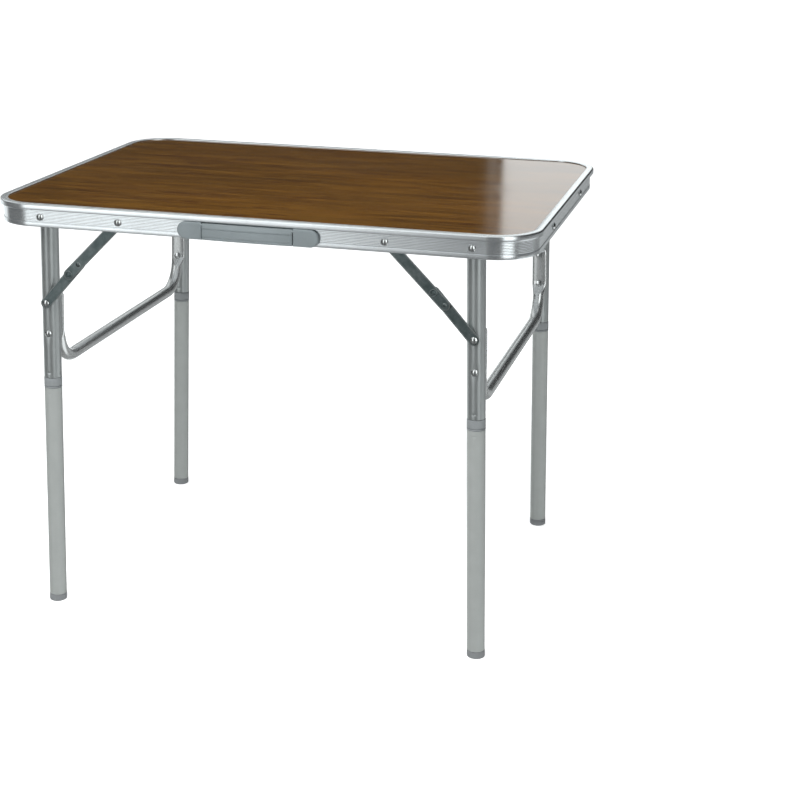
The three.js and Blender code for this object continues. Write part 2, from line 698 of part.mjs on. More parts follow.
function addLeg(legFrame, corner, end, floor, hasLeveller) {
  const onLeg = (name, geometry, material) => {
    const mesh = piece(`${name}_${corner}`, geometry, material);
    mesh.position.y = end * LEG_Y;
    legFrame.add(mesh);
  };
  onLeg('leg_tube', legTube(), satinTube);
  onLeg('leg_socket', legSocket(), fittingPlastic);
  onLeg('extension_spigot', extensionSpigot(), fittingPlastic);
  onLeg('extension_tube', tube(LEG_RADIUS, LEG_BORE, EXTENSION_TOP, EXTENSION_BOTTOM), satinTube);
  if (hasLeveller) {
    onLeg('foot_cap', levellerSeat(), fittingPlastic);
    onLeg('levelling_foot', levellingFoot(floor), fittingPlastic);
  } else {
    onLeg('foot_cap', footCap(floor), fittingPlastic);
  }
  const footRivet = piece(`brace_foot_rivet_${corner}`, braceFootRivet(end), rivetSteel);
  footRivet.position.z = -BRACE_FOOT_DROP;
  const tubeRivet = piece(`cross_brace_rivet_${corner}`, crossRivet(end), rivetSteel);
  tubeRivet.position.z = -CROSS_RIVET_DROP;
  legFrame.add(footRivet, tubeRivet);
}

function addLegFrame(table, sideName, side) {
  const legFrame = new THREE.Group();
  legFrame.position.set(side * PIVOT_X, 0, PIVOT_Z);
  legFrame.rotation.y = -side * SPLAY;
  table.add(legFrame);
  const floor = floorBlock(legFrame, side);
  legFrame.add(piece(`cross_brace_${sideName}`, crossBrace(), brightTube));
  for (const [endName, end] of Object.entries(ENDS)) {
    const hasLeveller = side > 0 && end > 0;
    addLeg(legFrame, `${sideName}_${endName}`, end, floor, hasLeveller);
  }
}

// ---- Pivots and scissor braces ----

function legPivot(end) {
  const wallOut = WALL_OUT_Y + CLEARANCE;
  const wallIn = WALL_IN_Y - CLEARANCE;
  const legIn = LEG_IN_Y - CLEARANCE;
  return rivetAlongY(end, [
    [wallOut + HEAD_RIM, wallOut, HEAD_RADIUS],
    [wallOut, wallIn, SHANK_RADIUS],
    [wallIn, LEG_OUT_Y + CLEARANCE, SPACER_RADIUS],
    [LEG_OUT_Y + CLEARANCE, legIn, SHANK_RADIUS],
    [legIn, legIn - TAIL_HEIGHT, HEAD_RADIUS],
  ], TALL_DOME);
}

function bracePivot(end) {
  const wallOut = WALL_OUT_Y + CLEARANCE;
  const wallIn = WALL_IN_Y - CLEARANCE;
  const linkOut = UPPER_LINK_Y + LINK_THICKNESS / 2 + CLEARANCE;
  const linkIn = UPPER_LINK_Y - LINK_THICKNESS / 2 - CLEARANCE;
  return rivetAlongY(end, [
    [wallOut + HEAD_RIM, wallOut, HEAD_RADIUS],
    [wallOut, wallIn, SHANK_RADIUS],
    [wallIn, linkOut, SPACER_RADIUS],
    [linkOut, linkIn, SHANK_RADIUS],
    [linkIn, linkIn - TAIL_HEIGHT, HEAD_RADIUS],
  ], TALL_DOME);
}

// A flat link between two distances from the table's centre line, with buttons at its knee.
// It is made along +X from its own pivot.
function link(end, middleY, length, kneeLength, buttons) {
  const faces = [end * (middleY - LINK_THICKNESS / 2), end * (middleY + LINK_THICKNESS / 2)];
  const strip = plate(stripShape(length, LINK_WIDTH), Math.min(...faces), Math.max(...faces));
  const rods = buttons.map(([radius, from, to]) => (
    rodAlongY(kneeLength, 0, radius, Math.min(end * from, end * to), Math.max(end * from, end * to))
  ));
  const pivotHole = rodAlongY(0, 0, HOLE_RADIUS, Math.min(...faces) - 1, Math.max(...faces) + 1);
  return cut(joined([strip, ...rods]), [pivotHole]);
}

function upperLink(end) {
  const outFace = UPPER_LINK_Y + LINK_THICKNESS / 2;
  const gapEnd = LOWER_LINK_Y + LINK_THICKNESS / 2 + CLEARANCE;
  return link(end, UPPER_LINK_Y, UPPER_LENGTH + LINK_TAIL, UPPER_LENGTH, [
    [KNEE_HEAD_RADIUS, UPPER_LINK_Y, outFace + KNEE_HEAD_HEIGHT],
    [HEAD_RADIUS, gapEnd, UPPER_LINK_Y],
  ]);
}

function lowerLink(end) {
  const inFace = LOWER_LINK_Y - LINK_THICKNESS / 2;
  return link(end, LOWER_LINK_Y, LOWER_LENGTH, LOWER_LENGTH, [
    [KNEE_TAIL_RADIUS, inFace - KNEE_TAIL_HEIGHT, LOWER_LINK_Y],
  ]);
}

// Turns a piece about Y so that its +X points from one place to another
function aim(mesh, side, fromX, fromZ, toX, toZ) {
  mesh.position.set(side * fromX, 0, fromZ);
  mesh.rotation.y = Math.atan2(fromZ - toZ, side * (toX - fromX));
}

function addBrace(table, corner, side, end) {
  const upper = piece(`brace_upper_${corner}`, upperLink(end), plateSteel);
  aim(upper, side, BRACE_X, PIVOT_Z, KNEE_X, KNEE_Z);
  const lower = piece(`brace_lower_${corner}`, lowerLink(end), plateSteel);
  aim(lower, side, BRACE_FOOT_X, BRACE_FOOT_Z, KNEE_X, KNEE_Z);
  const pivot = piece(`brace_pivot_${corner}`, bracePivot(end), rivetSteel);
  pivot.position.set(side * BRACE_X, 0, PIVOT_Z);
  const legPin = piece(`leg_pivot_${corner}`, legPivot(end), rivetSteel);
  legPin.position.set(side * PIVOT_X, 0, PIVOT_Z);
  table.add(upper, lower, pivot, legPin);
}

// ---- Table ----

const table = new THREE.Group();
table.position.y = SHIFT_Y;
addTop(table);
addClips(table);
addGrip(table);
for (const [sideName, side] of Object.entries(SIDES)) {
  addLegFrame(table, sideName, side);
  for (const [endName, end] of Object.entries(ENDS)) {
    addBrace(table, `${sideName}_${endName}`, side, end);
  }
}

export default table;
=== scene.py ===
import json
import math

import bpy
import numpy as np
from mathutils import Matrix


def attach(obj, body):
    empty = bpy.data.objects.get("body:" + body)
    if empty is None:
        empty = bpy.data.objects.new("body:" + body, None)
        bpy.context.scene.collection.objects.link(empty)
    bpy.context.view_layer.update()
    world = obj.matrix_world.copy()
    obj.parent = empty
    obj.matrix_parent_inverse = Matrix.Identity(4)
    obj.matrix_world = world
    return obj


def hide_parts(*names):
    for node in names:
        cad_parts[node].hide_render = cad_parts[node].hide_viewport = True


# A folding camping table: wood-print board in a ribbed aluminium edge, tubular fold-in legs
# with pull-off extensions, scissor braces, storage clips and a carry grip.
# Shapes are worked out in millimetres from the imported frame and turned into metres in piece().

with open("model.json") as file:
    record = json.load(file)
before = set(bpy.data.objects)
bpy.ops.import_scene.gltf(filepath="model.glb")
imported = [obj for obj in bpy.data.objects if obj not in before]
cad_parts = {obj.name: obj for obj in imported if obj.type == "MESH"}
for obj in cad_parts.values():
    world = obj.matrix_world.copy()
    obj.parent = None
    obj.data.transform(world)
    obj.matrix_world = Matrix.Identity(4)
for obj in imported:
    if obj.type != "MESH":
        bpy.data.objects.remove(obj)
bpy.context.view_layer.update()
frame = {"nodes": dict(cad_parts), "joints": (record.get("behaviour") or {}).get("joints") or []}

MM = 0.001
GAP = 0.3
SIDES = {"left": -1, "right": 1}
ENDS = {"front": -1, "rear": 1}
CORNERS = [(side, end) for side in SIDES for end in ENDS]

# Edge frame section. Distances inwards are from the outer edge of its top band.
CORNER_RADIUS = 63
CORNER_STEPS = 26
BAND_OVERHANG = 4
BAND_BOTTOM = 23.4
BAND_SKIN = 1.8
WALL_INNER = 5.85
LIP_WIDTH = 10.8
LIP_THICKNESS = 1.5
LIP_FALL = 0.25
FLANGE_WIDTH = 9
FLANGE_THICKNESS = 1.5
SHELF_WIDTH = 13
SHELF_TOP = 26.2
SHELF_THICKNESS = 1.2
FOOT_BAND_HEIGHT = 5.9
FOOT_BAND_INSET = 4.05
GROOVE_WIDTH = 0.9
GROOVE_INSET = 5.1
RIB_INSET = 4.6
RIB_HEIGHT = 0.06
RIB_COUNT = 8
RIB_POINTS = 6

# Board
BACKING_THICKNESS = 0.4

# Round parts
TUBE_SIDES = 56
LEG_WALL = 1.2
CROSS_RADIUS = 8.8
CROSS_BEND_RADIUS = 44
BLADE_HALF_WIDTH = 11
BLADE_HALF_THICKNESS = 3.5
STAKE_FROM_END = 7.5
RIVET_SIDES = 36
HEAD_RADIUS = 4.8
SHANK_RADIUS = 2.4
SPACER_RADIUS = 5
TAIL_HEIGHT = 1.6
LINK_WIDTH = 14.8
PLUG_RADIUS = 10.7
SOCKET_BORE = 8.3
SPIGOT_RADIUS = 8
AXIS_HOLE = 0.4
FRAME_DOME = 2.2
LINK_THICKNESS = 2
KNEE_HEAD_HEIGHT = 1.2


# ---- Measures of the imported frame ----

def node_points(node):
    """A node's vertices at rest."""
    data = frame["nodes"][node].data
    flat = np.zeros(len(data.vertices) * 3, np.float32)
    data.vertices.foreach_get("co", flat)
    return flat.reshape(-1, 3).astype(float) / MM


def node_box(*nodes):
    points = np.vstack([node_points(node) for node in nodes])
    return points.min(0), points.max(0)


JOINTS = {joint["name"]: joint for joint in frame["joints"]}


def joint_point(name):
    return np.array(JOINTS[name]["pos_m"]) / MM


edge_low, edge_high = node_box("edge_frame_left", "edge_frame_right")
HALF_X = (edge_high[0] - edge_low[0]) / 2
HALF_Y = (edge_high[1] - edge_low[1]) / 2
WALL_X = HALF_X - BAND_OVERHANG
WALL_Y = HALF_Y - BAND_OVERHANG
CENTRE_Y = (edge_high[1] + edge_low[1]) / 2
FRAME_BOTTOM = edge_low[2]
FRAME_TOP = edge_high[2]
PIVOTS = {side: joint_point(f"{side}_leg_fold") for side in SIDES}


def turn_angles(sides):
    return np.arange(sides) * 2 * math.pi / sides


def circle_ring(angles, radii, z):
    """Points of one ring at height z; radii is one number or one for each angle."""
    return np.column_stack([np.cos(angles) * radii, np.sin(angles) * radii, np.full(len(angles), z)])


def unit(vector):
    vector = np.asarray(vector, float)
    return vector / np.linalg.norm(vector)


def axes_at(origin, up, forward):
    """A 4x4 placement at origin with its Z along up and its Y near forward."""
    z = unit(up)
    x = unit(np.cross(forward, z))
    place = np.eye(4)
    place[:3, 0] = x
    place[:3, 1] = np.cross(z, x)
    place[:3, 2] = z
    place[:3, 3] = origin
    return place


def along(place, distance):
    """The placement moved along its own X."""
    moved = place.copy()
    moved[:3, 3] += moved[:3, 0] * distance
    return moved


def leg_axes(side, y=CENTRE_Y):
    """The leg frame's own axes: Z up along the tubes, the origin at the pivot."""
    axis = np.array(JOINTS[f"extension_pull_{side}_front"]["axis"], float)
    return axes_at((PIVOTS[side][0], y, PIVOTS[side][2]), axis * np.sign(axis[2]), (0, 1, 0))


def outward_axes(x, z, end):
    """Z away from the table's middle along Y, measured from the centre line."""
    return axes_at((x, CENTRE_Y, z), (0, end, 0), (0, 0, 1))


def span(node, place, axis=2):
    """The node's lowest and highest coordinate along one axis of a placement."""
    local = (node_points(node) - place[:3, 3]) @ place[:3, :3]
    return local[:, axis].min(), local[:, axis].max()


# ---- Outlines ----

def rounded(corners, closed=True, steps=5):
    """Points of an outline given as (x, y, radius) corners, each radius drawn as an arc."""
    points = []
    count = len(corners)
    for index, (x, y, radius) in enumerate(corners):
        here = np.array((x, y), float)
        at_end = not closed and index in (0, count - 1)
        if radius == 0 or at_end:
            points.append(here)
            continue
        before = unit(np.array(corners[index - 1][:2]) - here)
        after = unit(np.array(corners[(index + 1) % count][:2]) - here)
        half = math.acos(np.clip(before @ after, -1, 1)) / 2
        centre = here + unit(before + after) * radius / math.sin(half)
        start = here + before * radius / math.tan(half) - centre
        first = math.atan2(start[1], start[0])
        turn = math.pi - 2 * half
        if before[0] * after[1] - before[1] * after[0] > 0:
            turn = -turn
        for step in range(steps + 1):
            angle = first + turn * step / steps
            points.append(centre + radius * np.array((math.cos(angle), math.sin(angle))))
    return np.array(points)


def arc(x, y, radius, first_deg, last_deg, steps):
    angles = np.radians(np.linspace(first_deg, last_deg, steps + 1))
    return np.column_stack([x + radius * np.cos(angles), y + radius * np.sin(angles)])


def inset(outline, distance):
    """A closed outline moved inwards."""
    ahead = np.roll(outline, -1, axis=0)
    area = (outline[:, 0] * ahead[:, 1] - ahead[:, 0] * outline[:, 1]).sum()
    edges = ahead - outline
    edges = edges / np.linalg.norm(edges, axis=1)[:, None]
    after = np.column_stack([-edges[:, 1], edges[:, 0]]) * np.sign(area)
    before = np.roll(after, 1, axis=0)
    share = distance / (1 + (before * after).sum(1))
    return outline + (before + after) * share[:, None]


def stadium(length, width, steps=14):
    """A strip with round ends about (0, 0) and (length, 0)."""
    return np.vstack([
        arc(length, 0, width / 2, -90, 90, steps),
        arc(0, 0, width / 2, 90, 270, steps),
    ])


def box_outline(half_x, half_y, radius):
    corners = [(-1, -1), (1, -1), (1, 1), (-1, 1)]
    return rounded([(half_x * x, half_y * y, radius) for x, y in corners])


def ribbon(path, thickness):
    """The closed outline of a sheet of that thickness along an open path."""
    edges = np.diff(path, axis=0)
    edges = edges / np.linalg.norm(edges, axis=1)[:, None]
    tangents = np.vstack([edges[:1], edges[1:] + edges[:-1], edges[-1:]])
    tangents = tangents / np.linalg.norm(tangents, axis=1)[:, None]
    normals = np.column_stack([-tangents[:, 1], tangents[:, 0]]) * thickness / 2
    return np.vstack([path + normals, (path - normals)[::-1]])


def plan_outline(distance):
    """The table's outline, moved inwards."""
    radius = CORNER_RADIUS - distance
    x = HALF_X - CORNER_RADIUS
    y = HALF_Y - CORNER_RADIUS
    places = [(x, -y, -90), (x, y, 0), (-x, y, 90), (-x, -y, 180)]
    return np.vstack([
        arc(cx, CENTRE_Y + cy, radius, first, first + 90, CORNER_STEPS) for cx, cy, first in places
    ])


# ---- Solids ----

class Solid:
    """The vertices, faces and face-corner UVs of one piece, gathered shell by shell."""

    def __init__(self):
        self.points = []
        self.faces = []
        self.uvs = []

    def skin(self, rings, place=None, loop=False):
        """Joins closed rings into one closed shell: end to end, or with flat end caps.
        The UVs run along the shell and round its girth, in millimetres."""
        rings = np.asarray(rings, float)
        count, around = rings.shape[:2]
        if place is not None:
            rings = rings @ place[:3, :3].T + place[:3, 3]
        steps = np.linalg.norm(np.roll(rings, -1, axis=0) - rings, axis=2).mean(1)
        along = np.concatenate([[0], np.cumsum(steps)])
        widths = np.linalg.norm(np.roll(rings, -1, axis=1) - rings, axis=2).mean(0)
        girth = np.concatenate([[0], np.cumsum(widths)])
        faces, uvs = [], []
        for i in range(count if loop else count - 1):
            k = (i + 1) % count
            for j in range(around):
                n = (j + 1) % around
                faces.append((i * around + j, i * around + n, k * around + n, k * around + j))
                uvs.append((
                    (along[i], girth[j]),
                    (along[i], girth[j + 1]),
                    (along[i + 1], girth[j + 1]),
                    (along[i + 1], girth[j]),
                ))
        if not loop:
            for ring, order in ((0, range(around - 1, -1, -1)), (count - 1, range(around))):
                across, up = self._cap_axes(rings[ring])
                faces.append(tuple(ring * around + j for j in order))
                uvs.append(tuple((rings[ring, j] @ across, rings[ring, j] @ up) for j in order))
        flat = rings.reshape(-1, 3)
        if self._volume(flat, faces) < 0:
            faces = [face[::-1] for face in faces]
            uvs = [corner[::-1] for corner in uvs]
        base = len(self.points)
        self.points.extend(flat)
        self.faces.extend(tuple(base + index for index in face) for face in faces)
        self.uvs.extend(uvs)
        return self

    @staticmethod
    def _cap_axes(ring):
        """Two directions in a cap's plane, with the longer one first."""
        _, _, directions = np.linalg.svd(ring - ring.mean(0))
        return directions[0], directions[1]

    @staticmethod
    def _volume(points, faces):
        middle = points.mean(0)
        total = 0.0
        by_size = {}
        for face in faces:
            by_size.setdefault(len(face), []).append(face)
        for size, group in by_size.items():
            corners = points[np.array(group)] - middle
            for k in range(1, size - 1):
                total += np.einsum(
                    "ij,ij->", corners[:, 0], np.cross(corners[:, k], corners[:, k + 1])
                )
        return total

    def turned(self, profile, place, sides=RIVET_SIDES, loop=False):
        """A shell of revolution about the placement's Z, from (radius, z) points."""
        angles = turn_angles(sides)
        return self.skin([circle_ring(angles, r, z) for r, z in profile], place, loop)

    def slab(self, outline, low, high, edge, place, rim=None, steps=3):
        """A plate across the placement's Z with rounded edges.
        rim = (width, depth) sinks both faces inside a border of that width."""
        turns = [step / steps * math.pi / 2 for step in range(steps + 1)]
        lower = [(edge * (1 - math.sin(t)), low + edge * (1 - math.cos(t))) for t in turns]
        if rim:
            width, depth = rim
            lower = [(width + depth, low + depth), (width, low)] + lower
        upper = [(distance, low + high - z) for distance, z in reversed(lower)]
        rings = [
            np.column_stack([inset(outline, distance), np.full(len(outline), z)])
            for distance, z in lower + upper
        ]
        return self.skin(rings, place)


def piece(name, solid, finish, body, nodes, sharp_deg=38):
    """Makes a solid into an object that rides on a body in place of CAD nodes."""
    mesh = bpy.data.meshes.new(name)
    mesh.from_pydata([tuple(point * MM) for point in solid.points], [], solid.faces)
    layer = mesh.uv_layers.new(name="section")
    flat = [value * MM for corners in solid.uvs for uv in corners for value in uv]
    layer.data.foreach_set("uv", flat)
    mesh.polygons.foreach_set("use_smooth", [True] * len(mesh.polygons))
    mesh.set_sharp_from_angle(angle=math.radians(sharp_deg))
    mesh.materials.append(finish)
    mesh.update()
    made = bpy.data.objects.new(name, mesh)
    bpy.context.scene.collection.objects.link(made)
    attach(made, body)
    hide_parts(*nodes)
    return made


def dome(radius, height, base, steps=7):
    """(radius, z) points of a spherical cap, from its middle down to its rim."""
    ball = (radius ** 2 + height ** 2) / (2 * height)
    widest = math.asin(min(1.0, radius / ball))
    angles = [widest * step / steps for step in range(1, steps + 1)]
    top = base + height
    points = [(0.03 * radius, top)]
    return points + [(ball * math.sin(a), top - ball * (1 - math.cos(a))) for a in angles]


def add_rivet(solid, place, sections, dome_height):
    """A rivet with its domed head up. Each section is (from, to, radius), from the head down,
    and the last one is the pressed tail."""
    head_top, _, head_radius = sections[0]
    profile = dome(head_radius, dome_height, head_top)
    soft = 0.12
    for top, bottom, radius in sections[:-1]:
        profile += [(radius, top - soft), (radius, bottom + soft), (radius - soft, bottom)]
    tail_top, tail_bottom, tail_radius = sections[-1]
    tail_dome = (tail_top - tail_bottom) * 0.5
    profile += [(tail_radius - soft, tail_top), (tail_radius, tail_top - soft)]
    below = dome(tail_radius, tail_dome, 0)
    profile += [(radius, tail_bottom + tail_dome - z) for radius, z in reversed(below)]
    return solid.turned(profile, place)


# ---- Materials ----

class Nodes:
    """Helpers that add shader nodes to one node tree."""

    def __init__(self, tree):
        self.tree = tree

    def node(self, kind, links=None, values=None, **settings):
        made = self.tree.nodes.new("ShaderNode" + kind)
        for key, value in settings.items():
            setattr(made, key, value)
        for socket, value in (values or {}).items():
            made.inputs[socket].default_value = value
        for socket, source in (links or {}).items():
            self.tree.links.new(source, made.inputs[socket])
        return made

    def coordinates(self, scale, section, offset):
        """Object coordinates, or the UVs that run along a piece and round its girth, scaled."""
        if section:
            source = self.node("UVMap", uv_map="section").outputs["UV"]
        else:
            source = self.node("TexCoord").outputs["Object"]
        mapping = self.node("Mapping", {"Vector": source}, {"Scale": scale, "Location": offset})
        return mapping.outputs["Vector"]

    def noise(self, scale, detail, rough, distortion=0.0, section=False, offset=(0, 0, 0)):
        made = self.node(
            "TexNoise",
            {"Vector": self.coordinates(scale, section, offset)},
            {"Scale": 1.0, "Detail": detail, "Roughness": rough, "Distortion": distortion},
        )
        return made.outputs["Fac"]

    def spread(self, value, from_low, from_high, to_low, to_high):
        made = self.node(
            "MapRange",
            {"Value": value},
            {"From Min": from_low, "From Max": from_high, "To Min": to_low, "To Max": to_high},
        )
        return made.outputs["Result"]

    def ramp(self, value, stops):
        made = self.node("ValToRGB", {"Fac": value})
        elements = made.color_ramp.elements
        while len(elements) < len(stops):
            elements.new(0.5)
        for element, (position, color) in zip(elements, stops):
            element.position = position
            element.color = (*color, 1)
        return made.outputs["Color"]

    def mix(self, factor, first, second, mode="MIX"):
        made = self.node("Mix", data_type="RGBA", blend_type=mode)
        for index, source in ((0, factor), (6, first), (7, second)):
            if isinstance(source, (tuple, float)):
                made.inputs[index].default_value = source if index == 0 else (*source, 1)
            else:
                self.tree.links.new(source, made.inputs[index])
        return made.outputs[2]

    def calculate(self, operation, first, second):
        made = self.node("Math", operation=operation)
        for index, source in enumerate((first, second)):
            if isinstance(source, float):
                made.inputs[index].default_value = source
            else:
                self.tree.links.new(source, made.inputs[index])
        return made.outputs[0]

    def bump(self, height, depth_mm, strength=1.0, below=None):
        links = {"Height": height}
        if below is not None:
            links["Normal"] = below
        made = self.node("Bump", links, {"Strength": strength, "Distance": depth_mm * MM})
        return made.outputs["Normal"]


class Finish(Nodes):
    """A node material on the principled shader."""

    def __init__(self, name, color, roughness, metallic=0.0, **shader_values):
        self.material = bpy.data.materials.new(name)
        self.material.use_nodes = True
        super().__init__(self.material.node_tree)
        self.shader = self.tree.nodes["Principled BSDF"]
        self.shader.inputs["Base Color"].default_value = (*color, 1)
        self.shader.inputs["Roughness"].default_value = roughness
        self.shader.inputs["Metallic"].default_value = metallic
        for socket, value in shader_values.items():
            self.shader.inputs[socket.replace("_", " ")].default_value = value

    def use(self, socket, source):
        self.tree.links.new(source, self.shader.inputs[socket])


def board_print():
    """Glossy printed wood grain, running along X."""
    finish = Finish("board_print", (0.13, 0.06, 0.018), 0.08)
    tone = finish.noise((6, 88, 1), 5.0, 0.66, 0.25)
    color = finish.ramp(tone, [
        (0.30, (0.066, 0.027, 0.0040)),
        (0.46, (0.104, 0.045, 0.0056)),
        (0.56, (0.136, 0.061, 0.0078)),
        (0.70, (0.178, 0.084, 0.0115)),
    ])
    broad = finish.noise((2.2, 5.5, 1), 2.0, 0.5, offset=(6, 3, 0))
    color = finish.mix(finish.spread(broad, 0.35, 0.7, 0.0, 0.35), color, (0.175, 0.070, 0.0060))
    fine = finish.noise((14, 520, 1), 4.0, 0.65, offset=(3, 7, 0))
    streaks = finish.noise((9, 190, 1), 3.0, 0.6, offset=(5, 1, 0))
    shade = finish.calculate("MULTIPLY", finish.spread(fine, 0.3, 0.7, 0.80, 1.20),
                             finish.spread(streaks, 0.32, 0.68, 0.68, 1.32))
    color = finish.mix(1.0, color, finish.node("CombineColor", {
        "Red": shade, "Green": shade, "Blue": shade}).outputs[0], "MULTIPLY")
    dashes = finish.noise((15, 105, 1), 3.0, 0.5, offset=(9, 2, 0))
    dash_mask = finish.spread(dashes, 0.57, 0.68, 0.0, 0.7)
    color = finish.mix(dash_mask, color, (0.058, 0.0180, 0.0030))
    flecks = finish.noise((34, 210, 1), 3.0, 0.55, offset=(1, 5, 0))
    fleck_mask = finish.spread(flecks, 0.60, 0.74, 0.0, 0.45)
    color = finish.mix(fleck_mask, color, (0.24, 0.125, 0.020))
    finish.use("Base Color", color)
    smudge = finish.noise((7, 9, 1), 4.0, 0.6)
    finish.use("Roughness", finish.spread(smudge, 0.3, 0.75, 0.06, 0.10))
    finish.use("Normal", finish.bump(fine, 0.003))
    return finish.material


def painted_backing():
    """Pale grey paint on the underside of the board."""
    finish = Finish("backing_paint", (0.42, 0.44, 0.45), 0.45)
    cloud = finish.noise((9, 9, 9), 4.0, 0.6)
    finish.use("Base Color", finish.ramp(cloud, [
        (0.3, (0.38, 0.40, 0.41)), (0.7, (0.46, 0.48, 0.49))]))
    peel = finish.noise((420, 420, 420), 2.0, 0.5)
    finish.use("Roughness", finish.spread(peel, 0.3, 0.7, 0.40, 0.52))
    finish.use("Normal", finish.bump(peel, 0.03))
    return finish.material


def drawn_metal(name, color, roughness, metallic, line_scale, line_depth, swing=0.05, mottle=0.03):
    """Metal with fine lines along the length of the section and faint handling marks."""
    finish = Finish(name, color, roughness, metallic)
    lines = finish.noise((4, line_scale, 1), 3.0, 0.7, section=True)
    marks = finish.noise((14, 14, 14), 4.0, 0.65)
    blotch = finish.noise((55, 55, 55), 3.0, 0.6, offset=(4, 1, 8))
    worn = finish.calculate("ADD", finish.spread(lines, 0.3, 0.7, -swing, swing),
                            finish.spread(marks, 0.35, 0.7, roughness - 0.02, roughness + 0.03))
    finish.use("Roughness", worn)
    dark = tuple(channel * (1 - mottle * 1.6) for channel in color)
    light = tuple(min(1.0, channel * (1 + mottle)) for channel in color)
    finish.use("Base Color", finish.ramp(blotch, [(0.32, dark), (0.68, light)]))
    scratches = finish.noise((160, 1900, 160), 1.0, 0.4, 1.2, offset=(2, 9, 5))
    nicks = finish.spread(scratches, 0.70, 0.76, 0.0, 1.0)
    lined = finish.bump(lines, line_depth)
    finish.use("Normal", finish.bump(nicks, -0.02, 0.5, lined))
    return finish.material


def plated_steel():
    """Dark zinc plating, cloudy, with a painted highlight: pale along its sharp edges."""
    finish = Finish("plated_steel", (0.20, 0.225, 0.225), 0.34, 1.0)
    cloud = finish.noise((70, 70, 70), 5.0, 0.65)
    color = finish.ramp(cloud, [
        (0.30, (0.105, 0.135, 0.137)),
        (0.50, (0.158, 0.190, 0.193)),
        (0.72, (0.235, 0.265, 0.268)),
    ])
    # Painted highlight: the edge mask turns the colour pale along sharp edges, where light catches
    # them.
    edge = finish.spread(finish.node("NewGeometry").outputs["Pointiness"], 0.51, 0.57, 0.0, 0.9)
    color = finish.mix(edge, color, (0.66, 0.68, 0.67))
    finish.use("Base Color", color)
    brushed = finish.noise((30, 1500, 1), 3.0, 0.6, section=True)
    finish.use("Roughness", finish.spread(brushed, 0.3, 0.7, 0.26, 0.44))
    finish.use("Normal", finish.bump(brushed, 0.012))
    return finish.material


def bright_rivet():
    finish = Finish("bright_rivet", (0.80, 0.81, 0.81), 0.14, 1.0)
    cloud = finish.noise((230, 230, 230), 4.0, 0.6)
    finish.use("Roughness", finish.spread(cloud, 0.3, 0.75, 0.09, 0.26))
    finish.use("Base Color", finish.ramp(cloud, [
        (0.35, (0.84, 0.85, 0.85)), (0.75, (0.66, 0.67, 0.67))]))
    scuff = finish.noise((900, 900, 900), 2.0, 0.5)
    finish.use("Normal", finish.bump(scuff, 0.01))
    return finish.material


def moulded_plastic(name, color, roughness):
    """Moulded plastic with a spark-eroded grain and a painted highlight: a little paler along its sharp
    edges.
    """
    finish = Finish(name, color, roughness)
    grain = finish.noise((1300, 1300, 1300), 2.0, 0.5)
    cloud = finish.noise((26, 26, 26), 4.0, 0.6)
    dark = tuple(channel * 0.9 for channel in color)
    light = tuple(channel * 1.1 for channel in color)
    tinted = finish.ramp(cloud, [(0.3, dark), (0.7, light)])
    # Painted highlight: the edge mask pales the colour along sharp edges, where light catches the
    # bevels.
    edge = finish.spread(finish.node("NewGeometry").outputs["Pointiness"], 0.52, 0.62, 0.0, 0.5)
    pale = tuple(min(1.0, channel * 1.5) for channel in color)
    finish.use("Base Color", finish.mix(edge, tinted, pale))
    finish.use("Roughness", finish.spread(cloud, 0.3, 0.7, roughness - 0.05, roughness + 0.07))
    finish.use("Normal", finish.bump(grain, 0.035))
    return finish.material


def rail_paint():
    finish = Finish("rail_paint", (0.10, 0.11, 0.115), 0.42)
    peel = finish.noise((520, 520, 520), 3.0, 0.5)
    cloud = finish.noise((30, 30, 30), 4.0, 0.6)
    finish.use("Base Color", finish.ramp(cloud, [
        (0.3, (0.085, 0.093, 0.097)), (0.7, (0.125, 0.135, 0.142))]))
    finish.use("Roughness", finish.spread(cloud, 0.3, 0.7, 0.36, 0.50))
    finish.use("Normal", finish.bump(peel, 0.03))
    return finish.material


BOARD_PRINT = board_print()
BACKING_PAINT = painted_backing()
EDGE_ALUMINIUM = drawn_metal(
    "edge_aluminium", (0.82, 0.845, 0.865), 0.23, 0.96, 2600, 0.006, 0.04, 0.008)
SATIN_TUBE = drawn_metal("satin_tube", (0.375, 0.392, 0.382), 0.48, 0.4, 1500, 0.004, 0.04, 0.02)
LEG_TUBE = drawn_metal("leg_tube", (0.44, 0.462, 0.462), 0.35, 0.86, 1500, 0.003, 0.04, 0.02)
BRIGHT_TUBE = drawn_metal("bright_tube", (0.70, 0.71, 0.71), 0.24, 0.88, 1700, 0.004, 0.04, 0.01)
CLIP_STEEL = drawn_metal("clip_steel", (0.62, 0.63, 0.64), 0.28, 0.9, 1800, 0.006, 0.05, 0.05)
PLATED_STEEL = plated_steel()
BRIGHT_RIVET = bright_rivet()
GRIP_PLASTIC = moulded_plastic("grip_plastic", (0.150, 0.173, 0.181), 0.42)
# Foot caps and levelling pad: a darker copy of the fitting plastic, painted shade at the feet near the
# floor.
SHADED_CAP_PLASTIC = moulded_plastic("cap_plastic_painted_shade", (0.175, 0.184, 0.190), 0.46)
FITTING_PLASTIC = moulded_plastic("fitting_plastic", (0.185, 0.198, 0.204), 0.46)
RAIL_PAINT = rail_paint()


# ---- Board and edge frame ----

